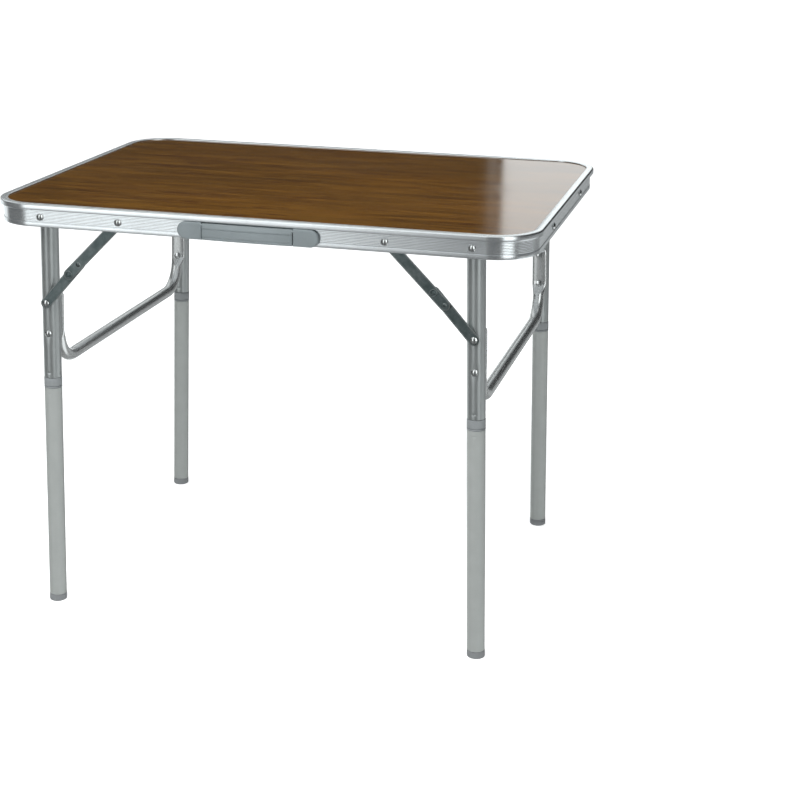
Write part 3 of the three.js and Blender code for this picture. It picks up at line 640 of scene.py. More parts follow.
def make_board():
    node_low, node_high = node_box("top_board")
    rim_inset = HALF_X - node_high[0]
    field_inset = LIP_WIDTH + GAP
    rim_top = FRAME_TOP - LIP_THICKNESS - GAP
    seam = node_low[2] + BACKING_THICKNESS
    soft = 0.12
    levels = [
        (rim_inset + soft, seam),
        (rim_inset, seam + soft),
        (rim_inset, rim_top - soft),
        (rim_inset + soft, rim_top),
        (field_inset, rim_top),
        (field_inset, node_high[2] - soft),
        (field_inset + soft, node_high[2]),
    ]
    panel = Solid().skin([
        np.column_stack([outline, np.full(len(outline), z)])
        for outline, z in ((plan_outline(distance), z) for distance, z in levels)
    ])
    piece("board_panel", panel, BOARD_PRINT, "table_top", ["top_board"])
    backing = Solid().slab(plan_outline(rim_inset), node_low[2], seam - 0.02, 0.1, np.eye(4))
    piece("board_backing", backing, BACKING_PAINT, "table_top", ["top_board"])


def frame_section():
    """The edge frame's section as (inwards, up) points, anticlockwise from the outer foot."""
    height = FRAME_TOP - FRAME_BOTTOM
    rib_low = FOOT_BAND_HEIGHT + GROOVE_WIDTH
    rib_high = BAND_BOTTOM - GROOVE_WIDTH
    foot = rounded([
        (FLANGE_WIDTH, 0, 0.5),
        (FOOT_BAND_INSET, 0, 0.9),
        (FOOT_BAND_INSET, FOOT_BAND_HEIGHT, 0.4),
        (GROOVE_INSET, FOOT_BAND_HEIGHT + 0.1, 0.15),
        (GROOVE_INSET, rib_low, 0),
    ], closed=False)[1:]
    steps = np.linspace(0, 1, RIB_COUNT * RIB_POINTS + 1)
    wave = (1 - np.cos(steps * RIB_COUNT * 2 * math.pi)) / 2
    ribs = np.column_stack([
        RIB_INSET - RIB_HEIGHT * wave,
        rib_low + (rib_high - rib_low) * steps,
    ])
    under_lip = height - LIP_THICKNESS
    rest = rounded([
        (GROOVE_INSET, rib_high, 0),
        (GROOVE_INSET, BAND_BOTTOM + 0.6, 0.3),
        (BAND_OVERHANG, BAND_BOTTOM + 0.6, 0.3),
        (BAND_OVERHANG, under_lip, 0.3),
        (BAND_SKIN, under_lip, 0.3),
        (BAND_SKIN, BAND_BOTTOM, 0.7),
        (0, BAND_BOTTOM, 0.9),
        (0, height, 2.4),
        (LIP_WIDTH, height - LIP_FALL, 0.7),
        (LIP_WIDTH, under_lip, 0.25),
        (WALL_INNER, under_lip, 0.4),
        (WALL_INNER, SHELF_TOP, 0.4),
        (SHELF_WIDTH, SHELF_TOP, 0.3),
        (SHELF_WIDTH, SHELF_TOP - SHELF_THICKNESS, 0.3),
        (WALL_INNER, SHELF_TOP - SHELF_THICKNESS, 0.5),
        (WALL_INNER, FLANGE_THICKNESS, 0.8),
        (FLANGE_WIDTH, FLANGE_THICKNESS, 0.5),
        (FLANGE_WIDTH, 0, 0),
    ], closed=False)[:-1]
    flange_end = [(FLANGE_WIDTH, FLANGE_THICKNESS / 2)]
    return np.vstack([foot, ribs, rest, flange_end])


def frame_stations(side):
    """(point on the outer face, outward direction) along one half, from front to rear."""
    x = HALF_X - CORNER_RADIUS
    y = HALF_Y - CORNER_RADIUS
    stations = [((side * GAP / 2, CENTRE_Y - HALF_Y), (0, -1))]
    for cy, first in ((CENTRE_Y - y, -90), (CENTRE_Y + y, 0)):
        for step in range(CORNER_STEPS + 1):
            angle = math.radians(first + 90 * step / CORNER_STEPS)
            out = (side * math.cos(angle), math.sin(angle))
            stations.append(((side * x + CORNER_RADIUS * out[0], cy + CORNER_RADIUS * out[1]), out))
    stations.append(((side * GAP / 2, CENTRE_Y + HALF_Y), (0, 1)))
    return stations


def make_edge_frame():
    section = frame_section()
    for name, side in SIDES.items():
        rings = []
        for (x, y), (out_x, out_y) in frame_stations(side):
            rings.append(np.column_stack([
                x - out_x * section[:, 0],
                y - out_y * section[:, 0],
                FRAME_BOTTOM + section[:, 1],
            ]))
        half = Solid().skin(rings)
        piece(f"edge_frame_{name}_ribbed", half, EDGE_ALUMINIUM, "table_top",
              [f"edge_frame_{name}"], 50)


def make_splices():
    for name, end in ENDS.items():
        low, high = node_box(f"frame_splice_{name}")
        middle = (low + high) / 2
        place = axes_at(middle, (0, end, 0), (0, 0, 1))
        half_x = (high[0] - low[0]) / 2
        half_z = (high[2] - low[2]) / 2
        thickness = high[1] - low[1]
        outline = box_outline(half_x, half_z, 3)
        plate = Solid().slab(outline, -thickness / 2, thickness / 2, 0.35, place)
        for x in (-half_x / 2, half_x / 2):
            button = place @ np.array(Matrix.Translation((x, 0, -thickness / 2)))
            button[:3, 2] *= -1
            button[:3, 0] *= -1
            plate.turned(dome(3.2, 0.9, 0) + [(3.2, -0.3)], button)
        piece(f"frame_splice_{name}_plate", plate, CLIP_STEEL, "table_top",
              [f"frame_splice_{name}"])


def make_rail():
    low, high = node_box("center_rail")
    half = (high[0] - low[0]) / 2
    sheet = 1.2
    section = rounded([
        (-half, low[2], 0.4), (-half + sheet, low[2], 0.4),
        (-half + sheet, high[2] - sheet, 0.8), (half - sheet, high[2] - sheet, 0.8),
        (half - sheet, low[2], 0.4), (half, low[2], 0.4),
        (half, high[2], 1.8), (-half, high[2], 1.8),
    ])
    rings = []
    for y, distance in ((low[1], 0.15), (low[1] + 0.15, 0), (high[1] - 0.15, 0), (high[1], 0.15)):
        shape = inset(section, distance)
        rings.append(np.column_stack([shape[:, 0], np.full(len(shape), y), shape[:, 1]]))
    piece("center_rail_channel", Solid().skin(rings), RAIL_PAINT, "table_top",
          ["center_rail"])


# ---- Storage clips ----

CLIP_SHEET = 1.5
CLIP_CUPS = (334, 301)
CLIP_INNER_RADIUS = 12.6
CLIP_MOUTH_DEG = 35
CLIP_LIP_RADIUS = 2.6


def clip_cup(x, z):
    """The path of one spring cup, mouth down, with its two ends curled outwards."""
    radius = CLIP_INNER_RADIUS + CLIP_SHEET / 2
    ring = arc(x, z, radius, -CLIP_MOUTH_DEG, 180 + CLIP_MOUTH_DEG, 34)
    lips = []
    for sign in (1, -1):
        angle = math.radians(-CLIP_MOUTH_DEG)
        reach = radius + CLIP_LIP_RADIUS
        cx = x + sign * reach * math.cos(angle)
        cz = z + reach * math.sin(angle)
        turned = [180 - CLIP_MOUTH_DEG + 100 * step / 7 for step in range(1, 8)]
        lip = [
            (cx + sign * CLIP_LIP_RADIUS * math.cos(math.radians(a)),
             cz + CLIP_LIP_RADIUS * math.sin(math.radians(a)))
            for a in turned
        ]
        lips.append(np.array(lip))
    return np.vstack([lips[0][::-1], ring, lips[1]])


def make_clips():
    for side_name, end_name in CORNERS:
        side = SIDES[side_name]
        node = f"tube_clip_{side_name}_{end_name}"
        low, high = node_box(node)
        middle_y = (low[1] + high[1]) / 2
        half_width = (high[1] - low[1]) / 2
        place = axes_at((0, middle_y, 0), (0, -side, 0), (0, 0, 1))
        strip_z = high[2] - CLIP_SHEET / 2
        tab_x = WALL_X - 1.8 - GAP - CLIP_SHEET / 2
        clip = Solid()
        bracket = rounded([
            (min(CLIP_CUPS) - 6, strip_z, 0), (tab_x, strip_z, 2.6),
            (tab_x, FRAME_BOTTOM + 2.3, 0),
        ], closed=False)
        clip.slab(ribbon(bracket, CLIP_SHEET), -half_width, half_width, 0.3, place)
        cup_z = high[2] - CLIP_SHEET - CLIP_INNER_RADIUS
        for x in CLIP_CUPS:
            clip.slab(ribbon(clip_cup(x, cup_z), CLIP_SHEET), -half_width, half_width, 0.3, place)
            button = axes_at((side * x, middle_y, strip_z - CLIP_SHEET / 2), (0, 0, -1), (0, 1, 0))
            clip.turned(dome(3, 0.9, CLIP_SHEET) + [(3, 0.2)], button)
        piece(f"{node}_spring", clip, CLIP_STEEL, "table_top", [node])

        wall_rivet = Solid()
        outer = axes_at((0, middle_y, PIVOTS[side_name][2]), (side, 0, 0), (0, 0, 1))
        tail = tab_x - CLIP_SHEET / 2
        add_rivet(wall_rivet, outer, [
            (WALL_X + 2 * GAP, WALL_X - 1, HEAD_RADIUS),
            (WALL_X - 1, tail - GAP, SHANK_RADIUS),
            (tail - GAP, tail - GAP - TAIL_HEIGHT, HEAD_RADIUS),
        ], FRAME_DOME)
        piece(f"{node}_rivet", wall_rivet, BRIGHT_RIVET, "table_top", [node])


# ---- Carry grip ----

GRIP_RECESS_HALF = 62
GRIP_PLATE = 1.2


def make_grip_base():
    low, high = node_box("grip_base")
    height = high[2] - low[2]
    middle_z = (high[2] + low[2]) / 2
    place = axes_at((0, high[1], middle_z), (0, -1, 0), (0, 0, 1))
    thickness = high[1] - low[1]
    base = Solid()
    for sign in (-1, 1):
        end_x = sign * (high[0] - height / 2)
        inner = sign * (GRIP_RECESS_HALF + 0.2)
        block = np.vstack([
            arc(end_x, 0, height / 2, -90 * sign, 180 - 90 * sign, 18),
            [(inner, sign * height / 2), (inner, -sign * height / 2)],
        ])
        base.slab(block, 0, thickness, 2.2, place, steps=6)
    plate = box_outline(GRIP_RECESS_HALF + 3, height / 2 - 0.3, 0.3)
    base.slab(plate, 0, GRIP_PLATE, 0.2, place)
    piece("grip_base_moulding", base, GRIP_PLASTIC, "table_top", ["grip_base"])


def grip_section(depth):
    """The grip's (out, up) section about its hinge, with two moulded lines along its front."""
    back = -2.4
    line = 0.5
    return rounded([
        (back, -19.4, 0.8),
        (depth * 0.6, -19.4, 0.8),
        (depth, -18.0, 0.9),
        (depth, -16.2, 0.35),
        (depth - line, -15.9, 0.12),
        (depth - line, -15.3, 0.12),
        (depth, -15.0, 0.35),
        (depth, -5.6, 0.35),
        (depth - line, -5.3, 0.12),
        (depth - line, -4.7, 0.12),
        (depth, -4.4, 0.35),
        (depth, -2.6, 0.9),
        (depth * 0.45, 1.9, 1.6),
        (0.6, 2.4, 0.6),
        (back, 2.4, 2.2),
    ], steps=4)


def make_grip():
    hinge = joint_point("carry_grip_swing")
    half = GRIP_RECESS_HALF - 0.4
    slack = 2.4
    bow = 4.8
    place = axes_at(hinge, (1, 0, 0), (0, 0, 1))
    stations = [(-half, 0.7), (-half + 0.2, 0.3), (-half + 0.7, 0)]
    stations += [(x, 0) for x in np.linspace(-half + 3, half - 3, 25)]
    stations += [(half - 0.7, 0), (half - 0.2, 0.3), (half, 0.7)]
    rings = []
    for x, distance in stations:
        depth = bow - (bow - slack) * (x / half) ** 2
        section = inset(grip_section(depth), distance)
        rings.append(np.column_stack([
            np.full(len(section), x), hinge[1] - section[:, 0], hinge[2] + section[:, 1]]))
    grip = Solid().skin(rings)
    pin = half + 5.4
    grip.turned([(1.2, -pin), (1.5, -pin + 0.3), (1.5, pin - 0.3), (1.2, pin)], place)
    piece("carry_grip_moulding", grip, GRIP_PLASTIC, "carry_grip", ["carry_grip"])


# ---- Leg tubes and their fittings ----

def tube_rings(outer, inner, low, high, dents):
    """Rings of a tube's outside and inside, closer together near its dents.
    A dent is (height, angle in degrees, depth, half height, half width)."""
    soft = 0.35
    heights = set(np.round(np.linspace(low + 1, high - 1, 12), 3))
    for middle, _, _, tall, _ in dents:
        near = np.linspace(middle - 2.4 * tall, middle + 2.4 * tall, 15)
        heights |= {round(float(z), 3) for z in near if low + 1 < z < high - 1}
    heights = sorted(heights)
    angles = turn_angles(TUBE_SIDES)

    def ring(radius, z):
        radii = np.full(TUBE_SIDES, float(radius))
        for middle, angle, depth, tall, wide in dents:
            turn = (angles - math.radians(angle) + math.pi) % (2 * math.pi) - math.pi
            radii -= depth * np.exp(-((z - middle) / tall) ** 2 - (turn * outer / wide) ** 2)
        return circle_ring(angles, radii, z)

    outside = [ring(outer - soft, low), ring(outer, low + soft)]
    outside += [ring(outer, z) for z in heights]
    outside += [ring(outer, high - soft), ring(outer - soft, high)]
    inside = [ring(inner + soft / 2, high)] + [ring(inner, z) for z in reversed(heights)]
    inside += [ring(inner + soft / 2, low)]
    return np.array(outside + inside)


def round_topped(rings, radius):
    """Bends the rings near the top down onto a round end about the pivot."""
    ceiling = np.sqrt(np.maximum(radius ** 2 - rings[:, :, 0] ** 2, 0))
    rings[:, :, 2] = np.minimum(rings[:, :, 2], ceiling)
    return rings


def stakes(height):
    return [(height, angle, 0.75, 1.6, 1.9) for angle in (0, 90, 180, 270)]


def make_leg(side_name, end_name):
    end = ENDS[end_name]
    corner = f"{side_name}_{end_name}"
    body = f"leg_frame_{side_name}"
    low, high = node_box(f"leg_tube_{corner}")
    radius = (high[1] - low[1]) / 2
    leg_y = (high[1] + low[1]) / 2
    place = leg_axes(side_name, leg_y)
    outward = 90 * end

    bottom, top = span(f"leg_tube_{corner}", place)
    foot_rivet = np.mean(span(f"brace_foot_rivet_{corner}", place))
    cross_rivet = np.mean(span(f"cross_brace_rivet_{corner}", place))
    dents = stakes(bottom + STAKE_FROM_END)
    dents += [(cross_rivet, outward, 1.0, 9, 4.4), (foot_rivet, outward, 0.5, 8, 4.5)]
    rings = tube_rings(radius, radius - LEG_WALL, bottom, top, dents)
    rings = round_topped(rings, top)
    piece(f"leg_tube_{corner}_drawn", Solid().skin(rings, place, loop=True), LEG_TUBE, body,
          [f"leg_tube_{corner}"])

    low_z, high_z = span(f"leg_socket_{corner}", place)
    collar_top = bottom - GAP
    fitting = radius + 0.25
    socket = Solid().turned(rounded([
        (SOCKET_BORE, high_z, 0.6), (SOCKET_BORE, low_z, 0.6),
        (fitting, low_z, 0.9), (fitting, collar_top, 0.9),
        (PLUG_RADIUS, collar_top, 0.3), (PLUG_RADIUS, high_z, 0.8),
    ]), place, TUBE_SIDES, loop=True)
    piece(f"leg_socket_{corner}_moulding", socket, FITTING_PLASTIC, body,
          [f"leg_socket_{corner}"])

    make_extension(corner, place, radius, fitting)


def ribbed_spigot(top, bottom, radius):
    """Rings of a spigot with eight long ribs and a pointed tip."""
    angles = turn_angles(96)
    groove = 0.75 * (0.5 - 0.5 * np.tanh(4 * np.cos(8 * angles)))
    rings = []
    for z, cut, share in (
        (bottom, 0, 0), (bottom + 1.2, 0, 0), (bottom + 2.4, 0, 1), (top - 5, 0, 1),
        (top - 3.6, 0.1, 0.4), (top - 1.4, 0.5, 0), (top - 0.5, 1.1, 0), (top, 1.9, 0),
    ):
        radii = radius - cut - groove * share
        rings.append(circle_ring(angles, radii, z))
    return rings


def make_extension(corner, place, radius, fitting):
    body = f"extension_{corner}"
    bottom, top = span(f"extension_tube_{corner}", place)
    dents = stakes(top - STAKE_FROM_END)
    if corner == "right_rear":
        dents += [(bottom + 9, angle, 0.45, 1.1, 0.9) for angle in range(0, 360, 24)]
    rings = tube_rings(radius, radius - LEG_WALL, bottom, top, dents)
    piece(f"extension_tube_{corner}_drawn", Solid().skin(rings, place, loop=True), SATIN_TUBE, body,
          [f"extension_tube_{corner}"])

    low_z, high_z = span(f"extension_spigot_{corner}", place)
    shoulder_bottom = top + GAP
    shoulder_top = shoulder_bottom + 2.4
    spigot = Solid().skin(ribbed_spigot(high_z, shoulder_top - 1, SPIGOT_RADIUS), place)
    spigot.turned(rounded([
        (AXIS_HOLE, shoulder_top, 0), (SPIGOT_RADIUS, shoulder_top, 0.2),
        (fitting - 0.7, shoulder_top, 0.3), (fitting, shoulder_top - 0.8, 0.4),
        (fitting, shoulder_bottom, 0.5),
        (PLUG_RADIUS, shoulder_bottom, 0.2), (PLUG_RADIUS, low_z, 0.8), (AXIS_HOLE, low_z, 0),
    ], closed=False), place, TUBE_SIDES)
    piece(f"extension_spigot_{corner}_moulding", spigot, FITTING_PLASTIC, body,
          [f"extension_spigot_{corner}"])
    make_foot(corner, place, bottom, fitting, body)


def levelled(solid, place, from_z):
    """Moves the points below from_z along the leg so that its foot ends flat on the floor."""
    points = np.array(solid.points)
    local = (points - place[:3, 3]) @ place[:3, :3]
    floor = -(place[2, 3] + local[:, 0] * place[2, 0] + local[:, 1] * place[2, 1]) / place[2, 2]
    lowest = local[:, 2].min()
    share = np.clip((from_z - local[:, 2]) / (from_z - lowest), 0, 1)
    local[:, 2] += share * (floor - lowest)
    solid.points = list(local @ place[:3, :3].T + place[:3, 3])


def make_foot(corner, place, tube_bottom, fitting, body):
    top = span(f"foot_cap_{corner}", place)[1]
    cap_top = tube_bottom - GAP
    ground = -np.linalg.norm((0, place[2, 3])) / place[2, 2]
    plug = [(AXIS_HOLE, top, 0), (PLUG_RADIUS, top, 0.8), (PLUG_RADIUS, cap_top, 0.2)]
    if corner != "right_rear":
        cap = Solid().turned(rounded(plug + [
            (fitting - 0.1, cap_top, 0.5), (fitting, ground + 3, 0), (fitting - 0.1, ground, 1.6),
            (AXIS_HOLE, ground, 0),
        ], closed=False), place, TUBE_SIDES)
        levelled(cap, place, cap_top - 1)
        piece(f"foot_cap_{corner}_moulding", cap, SHADED_CAP_PLASTIC, body,
              [f"foot_cap_{corner}"])
        return
    seat_bottom = span(f"foot_cap_{corner}", place)[0]
    seat = Solid().turned(rounded([
        (4.3, top, 0.4), (4.3, seat_bottom, 0.3), (fitting, seat_bottom, 0.4), (fitting, cap_top, 0.5),
        (PLUG_RADIUS, cap_top, 0.2), (PLUG_RADIUS, top, 0.8),
    ]), place, TUBE_SIDES, loop=True)
    piece(f"foot_cap_{corner}_seat", seat, SHADED_CAP_PLASTIC, body,
          [f"foot_cap_{corner}"])

    pad_node = "levelling_foot_right_rear"
    stud_top = span(pad_node, place)[1]
    pad_top = seat_bottom - GAP
    pad = Solid().turned(rounded([
        (AXIS_HOLE, pad_top, 0), (fitting - 0.6, pad_top, 0.6), (fitting, pad_top - 1.4, 0.6),
        (fitting, ground + 1.2, 0.8), (fitting - 1.4, ground, 0.6), (AXIS_HOLE, ground, 0),
    ], closed=False), place, TUBE_SIDES)
    levelled(pad, place, pad_top - 0.8)
    pitch = 1.5
    angles = turn_angles(40)
    rings = []
    for z in np.arange(pad_top - 0.5, stud_top + 0.01, pitch / 8):
        phase = (z / pitch - angles / (2 * math.pi)) % 1
        depth = 0.55 * np.abs(2 * phase - 1) * np.clip((stud_top - z) / 1.0 + 0.3, 0, 1)
        radii = 3.95 - depth - np.clip((z - stud_top + 0.8), 0, 1) * 0.6
        rings.append(circle_ring(angles, radii, z))
    pad.skin(rings, place)
    piece(f"{pad_node}_pad", pad, SHADED_CAP_PLASTIC, "levelling_foot", [pad_node])


# ---- Cross braces ----

BLADE_END_RADIUS = 6
BLADE_END_THICKNESS = 2.4
BLADE_TAPER = 0.65
FLAT_UNTIL = 167
FADE_LENGTH = 17


def squircle(half_width, half_height, power, sides=44):
    """(x, y) points of an outline between an ellipse (power 2) and a box (large power)."""
    angles = turn_angles(sides)
    cosine, sine = np.cos(angles), np.sin(angles)
    return np.column_stack([
        half_width * np.sign(cosine) * np.abs(cosine) ** (2 / power),
        half_height * np.sign(sine) * np.abs(sine) ** (2 / power),
    ])


def make_cross_brace(side_name):
    node = f"cross_brace_{side_name}"
    place = leg_axes(side_name)
    low_z, top_z = span(node, place)
    blade_out = span(node, place, 1)[1]
    arm_y = blade_out - CROSS_RADIUS
    drop = -low_z - CROSS_RADIUS
    bend_start = drop - CROSS_BEND_RADIUS
    straight = bend_start + top_z
    quarter = CROSS_BEND_RADIUS * math.pi / 2
    half_bar = arm_y - CROSS_BEND_RADIUS
    flat_length = FLAT_UNTIL + top_z

    def station(s):
        """Centre (y, z), outward normal and flatness at a distance from the +Y end."""
        if s < straight:
            centre, normal = (arm_y, top_z - s), (1, 0)
        elif s < straight + quarter:
            a = (s - straight) / CROSS_BEND_RADIUS
            normal = (math.cos(a), -math.sin(a))
            centre = np.array((half_bar, -bend_start)) + CROSS_BEND_RADIUS * np.array(normal)
        else:
            centre, normal = (half_bar - (s - straight - quarter), -drop), (0, -1)
        fade = np.clip((s - flat_length) / FADE_LENGTH, 0, 1)
        flat = 1 - fade * fade * (3 - 2 * fade)
        return np.array(centre), np.array(normal), flat

    distances = [0, 0.35, 1.0, 2.0, 3.2, 4.6, 6, 10]
    distances += list(np.linspace(14, flat_length, 10))
    distances += list(np.linspace(flat_length, straight + quarter, 26)[1:])
    distances += list(np.linspace(straight + quarter, straight + quarter + half_bar, 5)[1:])
    rings = []
    for s in distances:
        centre, normal, flat = station(s)
        half_width = CROSS_RADIUS + (BLADE_HALF_WIDTH - CROSS_RADIUS) * flat
        pressed = BLADE_HALF_THICKNESS - BLADE_TAPER * min(1.0, s / flat_length)
        half_depth = CROSS_RADIUS + (pressed - CROSS_RADIUS) * flat
        shift = (CROSS_RADIUS - pressed) * flat
        power = 2 + 0.7 * flat
        if s < BLADE_END_RADIUS:
            reach = BLADE_END_RADIUS - s
            half_width -= BLADE_END_RADIUS - math.sqrt(BLADE_END_RADIUS ** 2 - reach ** 2)
            pinch = 1 - s / BLADE_END_RADIUS
            narrowed = half_depth - pinch * (BLADE_HALF_THICKNESS - BLADE_END_THICKNESS)
            shift += half_depth - narrowed
            half_depth = narrowed
        outline = squircle(half_width, half_depth, power)
        across = shift + outline[:, 1]
        rings.append(np.column_stack([
            outline[:, 0],
            centre[0] + normal[0] * across,
            centre[1] + normal[1] * across,
        ]))
    rings = np.array(rings)
    mirrored = rings[:-1][::-1] * (1, -1, 1)
    brace = Solid().skin(np.concatenate([rings, mirrored]), place)
    piece(f"{node}_bent", brace, BRIGHT_TUBE, f"leg_frame_{side_name}", [node])


# ---- Rivets, pivots and scissor braces ----

def layer(node):
    """How far a node reaches from the table's centre line along Y: nearest and furthest."""
    low, high = node_box(node)
    near, far = sorted(abs(value - CENTRE_Y) for value in (low[1], high[1]))
    return near, far


def make_corner(side_name, end_name):
    end = ENDS[end_name]
    corner = f"{side_name}_{end_name}"
    upper_out = layer(f"brace_upper_{corner}")[1] - KNEE_HEAD_HEIGHT
    upper_in = upper_out - LINK_THICKNESS
    lower_out = layer(f"brace_lower_{corner}")[1]
    lower_in = lower_out - LINK_THICKNESS
    leg_in, leg_out = layer(f"leg_tube_{corner}")
    blade_in = layer(f"leg_pivot_{corner}")[0]
    foot_tail = layer(f"brace_foot_rivet_{corner}")[0]
    wall_in = HALF_Y - WALL_INNER - 0.1
    rib_face = HALF_Y - RIB_INSET

    def fasten(node, suffix, body, dome_height, sections):
        x, _, z = sum(node_box(node)) / 2
        rivet = add_rivet(Solid(), outward_axes(x, z, end), sections, dome_height)
        piece(f"{node}_{suffix}", rivet, BRIGHT_RIVET, body, [node])

    fasten(f"leg_pivot_{corner}", "pin", "table_top", FRAME_DOME, [
        (WALL_Y + 2 * GAP, rib_face, HEAD_RADIUS),
        (rib_face, wall_in, SHANK_RADIUS),
        (wall_in, leg_out + GAP, SPACER_RADIUS),
        (leg_out + GAP, leg_in - GAP, SHANK_RADIUS),
        (leg_in - GAP, blade_in, HEAD_RADIUS),
    ])
    fasten(f"brace_pivot_{corner}", "rivet", "table_top", FRAME_DOME, [
        (WALL_Y + 2 * GAP, rib_face, HEAD_RADIUS),
        (rib_face, wall_in, SHANK_RADIUS),
        (wall_in, upper_out + GAP, SPACER_RADIUS),
        (upper_out + GAP, upper_in - GAP, SHANK_RADIUS),
        (upper_in - GAP, upper_in - GAP - TAIL_HEIGHT, HEAD_RADIUS),
    ])
    body = f"leg_frame_{side_name}"
    fasten(f"brace_foot_rivet_{corner}", "rivet", body, 1.7, [
        (lower_out + 2 * GAP, lower_out + GAP, HEAD_RADIUS),
        (lower_out + GAP, lower_in - GAP, SHANK_RADIUS),
        (lower_in - GAP, leg_out - 0.4, SPACER_RADIUS),
        (leg_out - 0.4, foot_tail + TAIL_HEIGHT, SHANK_RADIUS),
        (foot_tail + TAIL_HEIGHT, foot_tail, HEAD_RADIUS),
    ])
    fasten(f"cross_brace_rivet_{corner}", "rivet", body, 2.0, [
        (leg_out + GAP, leg_out - 0.5, HEAD_RADIUS),
        (leg_out - 0.5, foot_tail + TAIL_HEIGHT, SHANK_RADIUS),
        (foot_tail + TAIL_HEIGHT, foot_tail, HEAD_RADIUS),
    ])
    make_links(side_name, end_name, (upper_in, upper_out), (lower_in, lower_out))


def ring_button(solid, place, x, outer, inner, height, base):
    """A pressed ring with a sunk middle and a small round button in it."""
    solid.turned(rounded([
        (0.4, base + height * 0.75, 0), (inner * 0.55, base + height * 0.75, 0.4),
        (inner * 0.75, base + height * 0.25, 0.3), (inner, base + height * 0.25, 0.3),
        (inner + 0.4, base + height, 0.4), (outer - 0.2, base + height, 0.5),
        (outer, base - 0.6, 0), (0.4, base - 0.6, 0),
    ], closed=False, steps=4), along(place, x))


def small_dome(solid, place, x, radius, height, base):
    solid.turned(dome(radius, height, base) + [(radius, base - 0.6)], along(place, x))


def make_links(side_name, end_name, upper_layer, lower_layer):
    end = ENDS[end_name]
    corner = f"{side_name}_{end_name}"
    turned_over = side_name == end_name.replace("front", "right").replace("rear", "left")
    upper_pivot = joint_point(f"upper_link_turn_{corner}")
    lower_pivot = joint_point(f"lower_link_turn_{corner}")
    points = node_points(f"brace_upper_{corner}")
    away = np.abs(points[:, 1] - CENTRE_Y)
    knee = points[away > away.max() - 0.01].mean(0)
    half = LINK_THICKNESS / 2
    rim = (1.5, 0.3)

    def turned_inwards(place):
        flipped = place.copy()
        flipped[:3, 1:3] *= -1
        return flipped

    def link_axes(pivot, target, layer_faces):
        direction = unit((target[0] - pivot[0], 0, target[2] - pivot[2]))
        middle = sum(layer_faces) / 2
        place = np.eye(4)
        place[:3, 0] = direction
        place[:3, 2] = (0, end, 0)
        place[:3, 1] = np.cross(place[:3, 2], place[:3, 0])
        place[:3, 3] = (pivot[0], CENTRE_Y + end * middle, pivot[2])
        return place

    place = link_axes(upper_pivot, knee, upper_layer)
    to_knee = np.linalg.norm((knee - upper_pivot)[[0, 2]])
    length = span(f"brace_upper_{corner}", place, 0)[1] - LINK_WIDTH / 2
    upper = Solid().slab(stadium(length, LINK_WIDTH), -half, half, 0.4, place, rim)
    if turned_over:
        ring_button(upper, place, to_knee, 5.5, 3.6, KNEE_HEAD_HEIGHT, half - 0.1)
        small_dome(upper, place, length, 2.6, 0.7, half - 0.3)
    else:
        small_dome(upper, place, to_knee, 3.2, 1.1, half - 0.2)
        ring_button(upper, place, length, 5.5, 3.6, 0.9, half - 0.1)
    gap_length = upper_layer[0] - lower_layer[1] - GAP
    upper.turned(rounded([
        (0.4, half + gap_length, 0), (HEAD_RADIUS, half + gap_length, 0.25),
        (HEAD_RADIUS, half - 0.6, 0), (0.4, half - 0.6, 0),
    ], closed=False), along(turned_inwards(place), to_knee))
    piece(f"brace_upper_{corner}_link", upper, PLATED_STEEL, f"upper_link_{corner}",
          [f"brace_upper_{corner}"])

    place = link_axes(lower_pivot, knee, lower_layer)
    to_knee = np.linalg.norm((knee - lower_pivot)[[0, 2]])
    lower = Solid().slab(stadium(to_knee, LINK_WIDTH), -half, half, 0.4, place, rim)
    small_dome(lower, turned_inwards(place), to_knee, 3, 0.75, half - 0.2)
    piece(f"brace_lower_{corner}_link", lower, PLATED_STEEL, f"lower_link_{corner}",
          [f"brace_lower_{corner}"])


# ---- Floor, lights and camera ----

FLOOR_HALF = 14
FLOOR_GLOW = 0.68


def staged(name, points, faces, glow):
    """A plain pale surface round the table that metal doesn't mirror."""
    mesh = bpy.data.meshes.new(name)
    mesh.from_pydata(points, [], faces)
    finish = Finish(f"{name}_paper", (0.82, 0.82, 0.82), 0.9)
    finish.shader.inputs["Specular IOR Level"].default_value = 0.0
    finish.shader.inputs["Emission Color"].default_value = (1, 1, 1, 1)
    finish.shader.inputs["Emission Strength"].default_value = glow
    mesh.materials.append(finish.material)
    made = bpy.data.objects.new(name, mesh)
    bpy.context.scene.collection.objects.link(made)
    made.visible_glossy = False
    made.visible_shadow = False
    return made


def make_surroundings():
    corners = [(-1, -1), (1, -1), (1, 1), (-1, 1)]
    low = [(FLOOR_HALF * x, FLOOR_HALF * y, 0) for x, y in corners]
    high = [(x, y, FLOOR_HALF) for x, y, _ in low]
    staged("floor", low, [(0, 1, 2, 3)], FLOOR_GLOW)
    walls = [(i, i + 4, (i + 1) % 4 + 4, (i + 1) % 4) for i in range(4)]
    staged("backdrop", low + high, walls, 1.0).visible_diffuse = False


def aim(place, target):
    """A matrix at place whose -Z points to target."""
    back = unit(np.array(place, float) - np.array(target, float))
    matrix = axes_at(place, back, (0, 0, 1)) if abs(back[2]) < 0.98 else axes_at(place, back, (0, 1, 0))
    return Matrix(matrix.tolist())


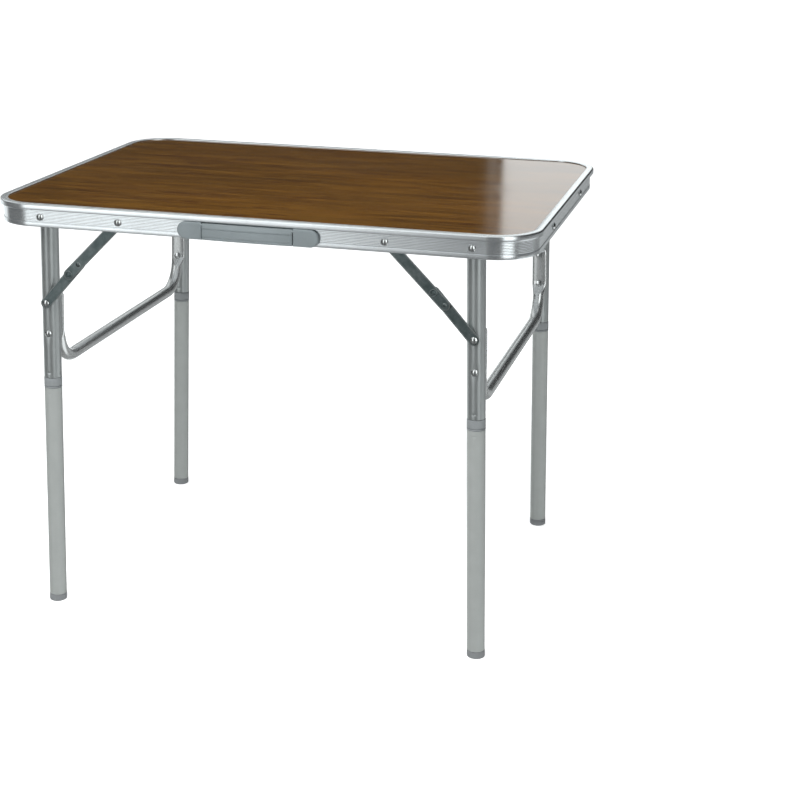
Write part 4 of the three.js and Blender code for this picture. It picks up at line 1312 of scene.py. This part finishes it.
# Soft lights of the studio, as seen from the table: (azimuth from the front, positive to the
# right, or from the rear where the last value says so), elevation, how soft their edges are, level.
PANELS = [
    # overhead, and a dimmer field in front of it
    ((-400, 400), (62, 100), (1, 1, 16, 1), 0.9, False),
    ((-80, 60), (16, 60), (20, 20, 10, 8), 0.30, False),
    # front left, the light on the front edge, dimmer below, where the legs mirror it
    ((-36, -14.4), (-14.4, 56), (10, 11, 1.6, 10), 1.40, False),
    ((-36, -14.4), (-60, -14.4), (10, 11, 10, 1.6), 0.22, False),
    # right, the highlight in the right front corner, dimmer below
    ((31, 58), (-14.4, 50), (7, 10, 1.6, 10), 1.65, False),
    ((31, 58), (-60, -14.4), (7, 10, 10, 1.6), 0.15, False),
    # right and low, the broad highlight along the right of the tubes
    ((74, 128), (-60, -18), (14, 16, 10, 1), 1.05, False),
    # rear left, high and low, along the cross braces
    ((-75, 3), (17, 55), (16, 8, 2.5, 14), 0.85, True),
    ((-75, -3), (-45, 7), (16, 6, 10, 2.5), 0.85, True),
    # rear right and low, in the right side of the edge
    ((8, 22), (-26, -7), (6, 6, 4, 4), 0.22, True),
    # rear, mirrored in the right end of the board, and the thin reflection beside its edge
    ((-10.7, -5.5), (6, 16), (0.12, 3, 2, 3), 1.45, True),
    ((-11.25, -10.91), (6, 16), (0.30, 0.08, 2, 3), 0.20, True),
    # bounce from the ground in front and behind
    ((-400, 400), (-100, 0), (1, 1, 1, 4), 0.10, False),
    ((-70, 70), (-100, 0), (20, 20, 1, 4), 0.12, True),
]
DIM = 0.03
LIGHT_COLOR = (0.952, 0.992, 0.995, 1)


def make_world():
    world = bpy.data.worlds.new("studio")
    world.use_nodes = True
    sky = Nodes(world.node_tree)
    generated = sky.node("TexCoord").outputs["Generated"]
    parts = sky.node("SeparateXYZ", {"Vector": generated}).outputs
    to_front = sky.calculate("MULTIPLY", parts["Y"], -1.0)
    from_front = sky.calculate("ARCTAN2", parts["X"], to_front)
    from_rear = sky.calculate("ARCTAN2", parts["X"], parts["Y"])
    elevation = sky.calculate("ARCSINE", parts["Z"], 0.0)

    def step(value, at, soft, rising):
        low, high = math.radians(at - soft / 2), math.radians(at + soft / 2)
        made = sky.node(
            "MapRange",
            {"Value": value},
            {"From Min": low, "From Max": high, "To Min": 1.0 - rising, "To Max": float(rising)},
            interpolation_type="SMOOTHSTEP",
        )
        return made.outputs["Result"]

    level = None
    for azimuths, elevations, softness, strength, rear in PANELS:
        azimuth = from_rear if rear else from_front
        mask = sky.calculate("MULTIPLY", step(azimuth, azimuths[0], softness[0], 1),
                             step(azimuth, azimuths[1], softness[1], 0))
        height = sky.calculate("MULTIPLY", step(elevation, elevations[0], softness[2], 1),
                               step(elevation, elevations[1], softness[3], 0))
        panel = sky.calculate("MULTIPLY", sky.calculate("MULTIPLY", mask, height), strength)
        level = sky.calculate("ADD", panel, DIM if level is None else level)
    background = world.node_tree.nodes["Background"]
    background.inputs["Color"].default_value = LIGHT_COLOR
    sky.tree.links.new(level, background.inputs["Strength"])
    bpy.context.scene.world = world


KEY_AT = (-0.35, -1.3, 2.3)
KEY_TOWARDS = (0.05, -0.05, 0.5)
KEY_SIZE = (1.6, 1.2)
KEY_WATTS = 49.7


def make_key_light():
    data = bpy.data.lights.new("key", "AREA")
    data.shape = "RECTANGLE"
    data.size, data.size_y = KEY_SIZE
    data.energy = KEY_WATTS
    lamp = bpy.data.objects.new("key", data)
    bpy.context.scene.collection.objects.link(lamp)
    lamp.matrix_world = aim(KEY_AT, KEY_TOWARDS)
    lamp.visible_camera = False
    lamp.visible_glossy = False


CAMERA_AT = (0.7026, -2.2391, 1.0491)
CAMERA_YAW = 0.2820
CAMERA_PITCH = 0.3244
CAMERA_ROLL = 0.0063
CAMERA_LENS = 74.38
CAMERA_SHIFT = 0.06875


def make_camera():
    data = bpy.data.cameras.new("camera")
    data.lens = CAMERA_LENS
    data.sensor_width = 36
    data.shift_x = CAMERA_SHIFT
    camera = bpy.data.objects.new("camera", data)
    bpy.context.scene.collection.objects.link(camera)
    turn = (
        Matrix.Rotation(CAMERA_YAW, 4, "Z")
        @ Matrix.Rotation(math.pi / 2 - CAMERA_PITCH, 4, "X")
        @ Matrix.Rotation(CAMERA_ROLL, 4, "Z")
    )
    camera.matrix_world = Matrix.Translation(CAMERA_AT) @ turn
    bpy.context.scene.camera = camera


make_camera()
make_surroundings()
make_world()
make_key_light()
make_board()
make_edge_frame()
make_splices()
make_rail()
make_clips()
make_grip_base()
make_grip()
for side_name, end_name in CORNERS:
    make_leg(side_name, end_name)
    make_corner(side_name, end_name)
for side_name in SIDES:
    make_cross_brace(side_name)

bpy.context.scene.view_settings.view_transform = "Standard"
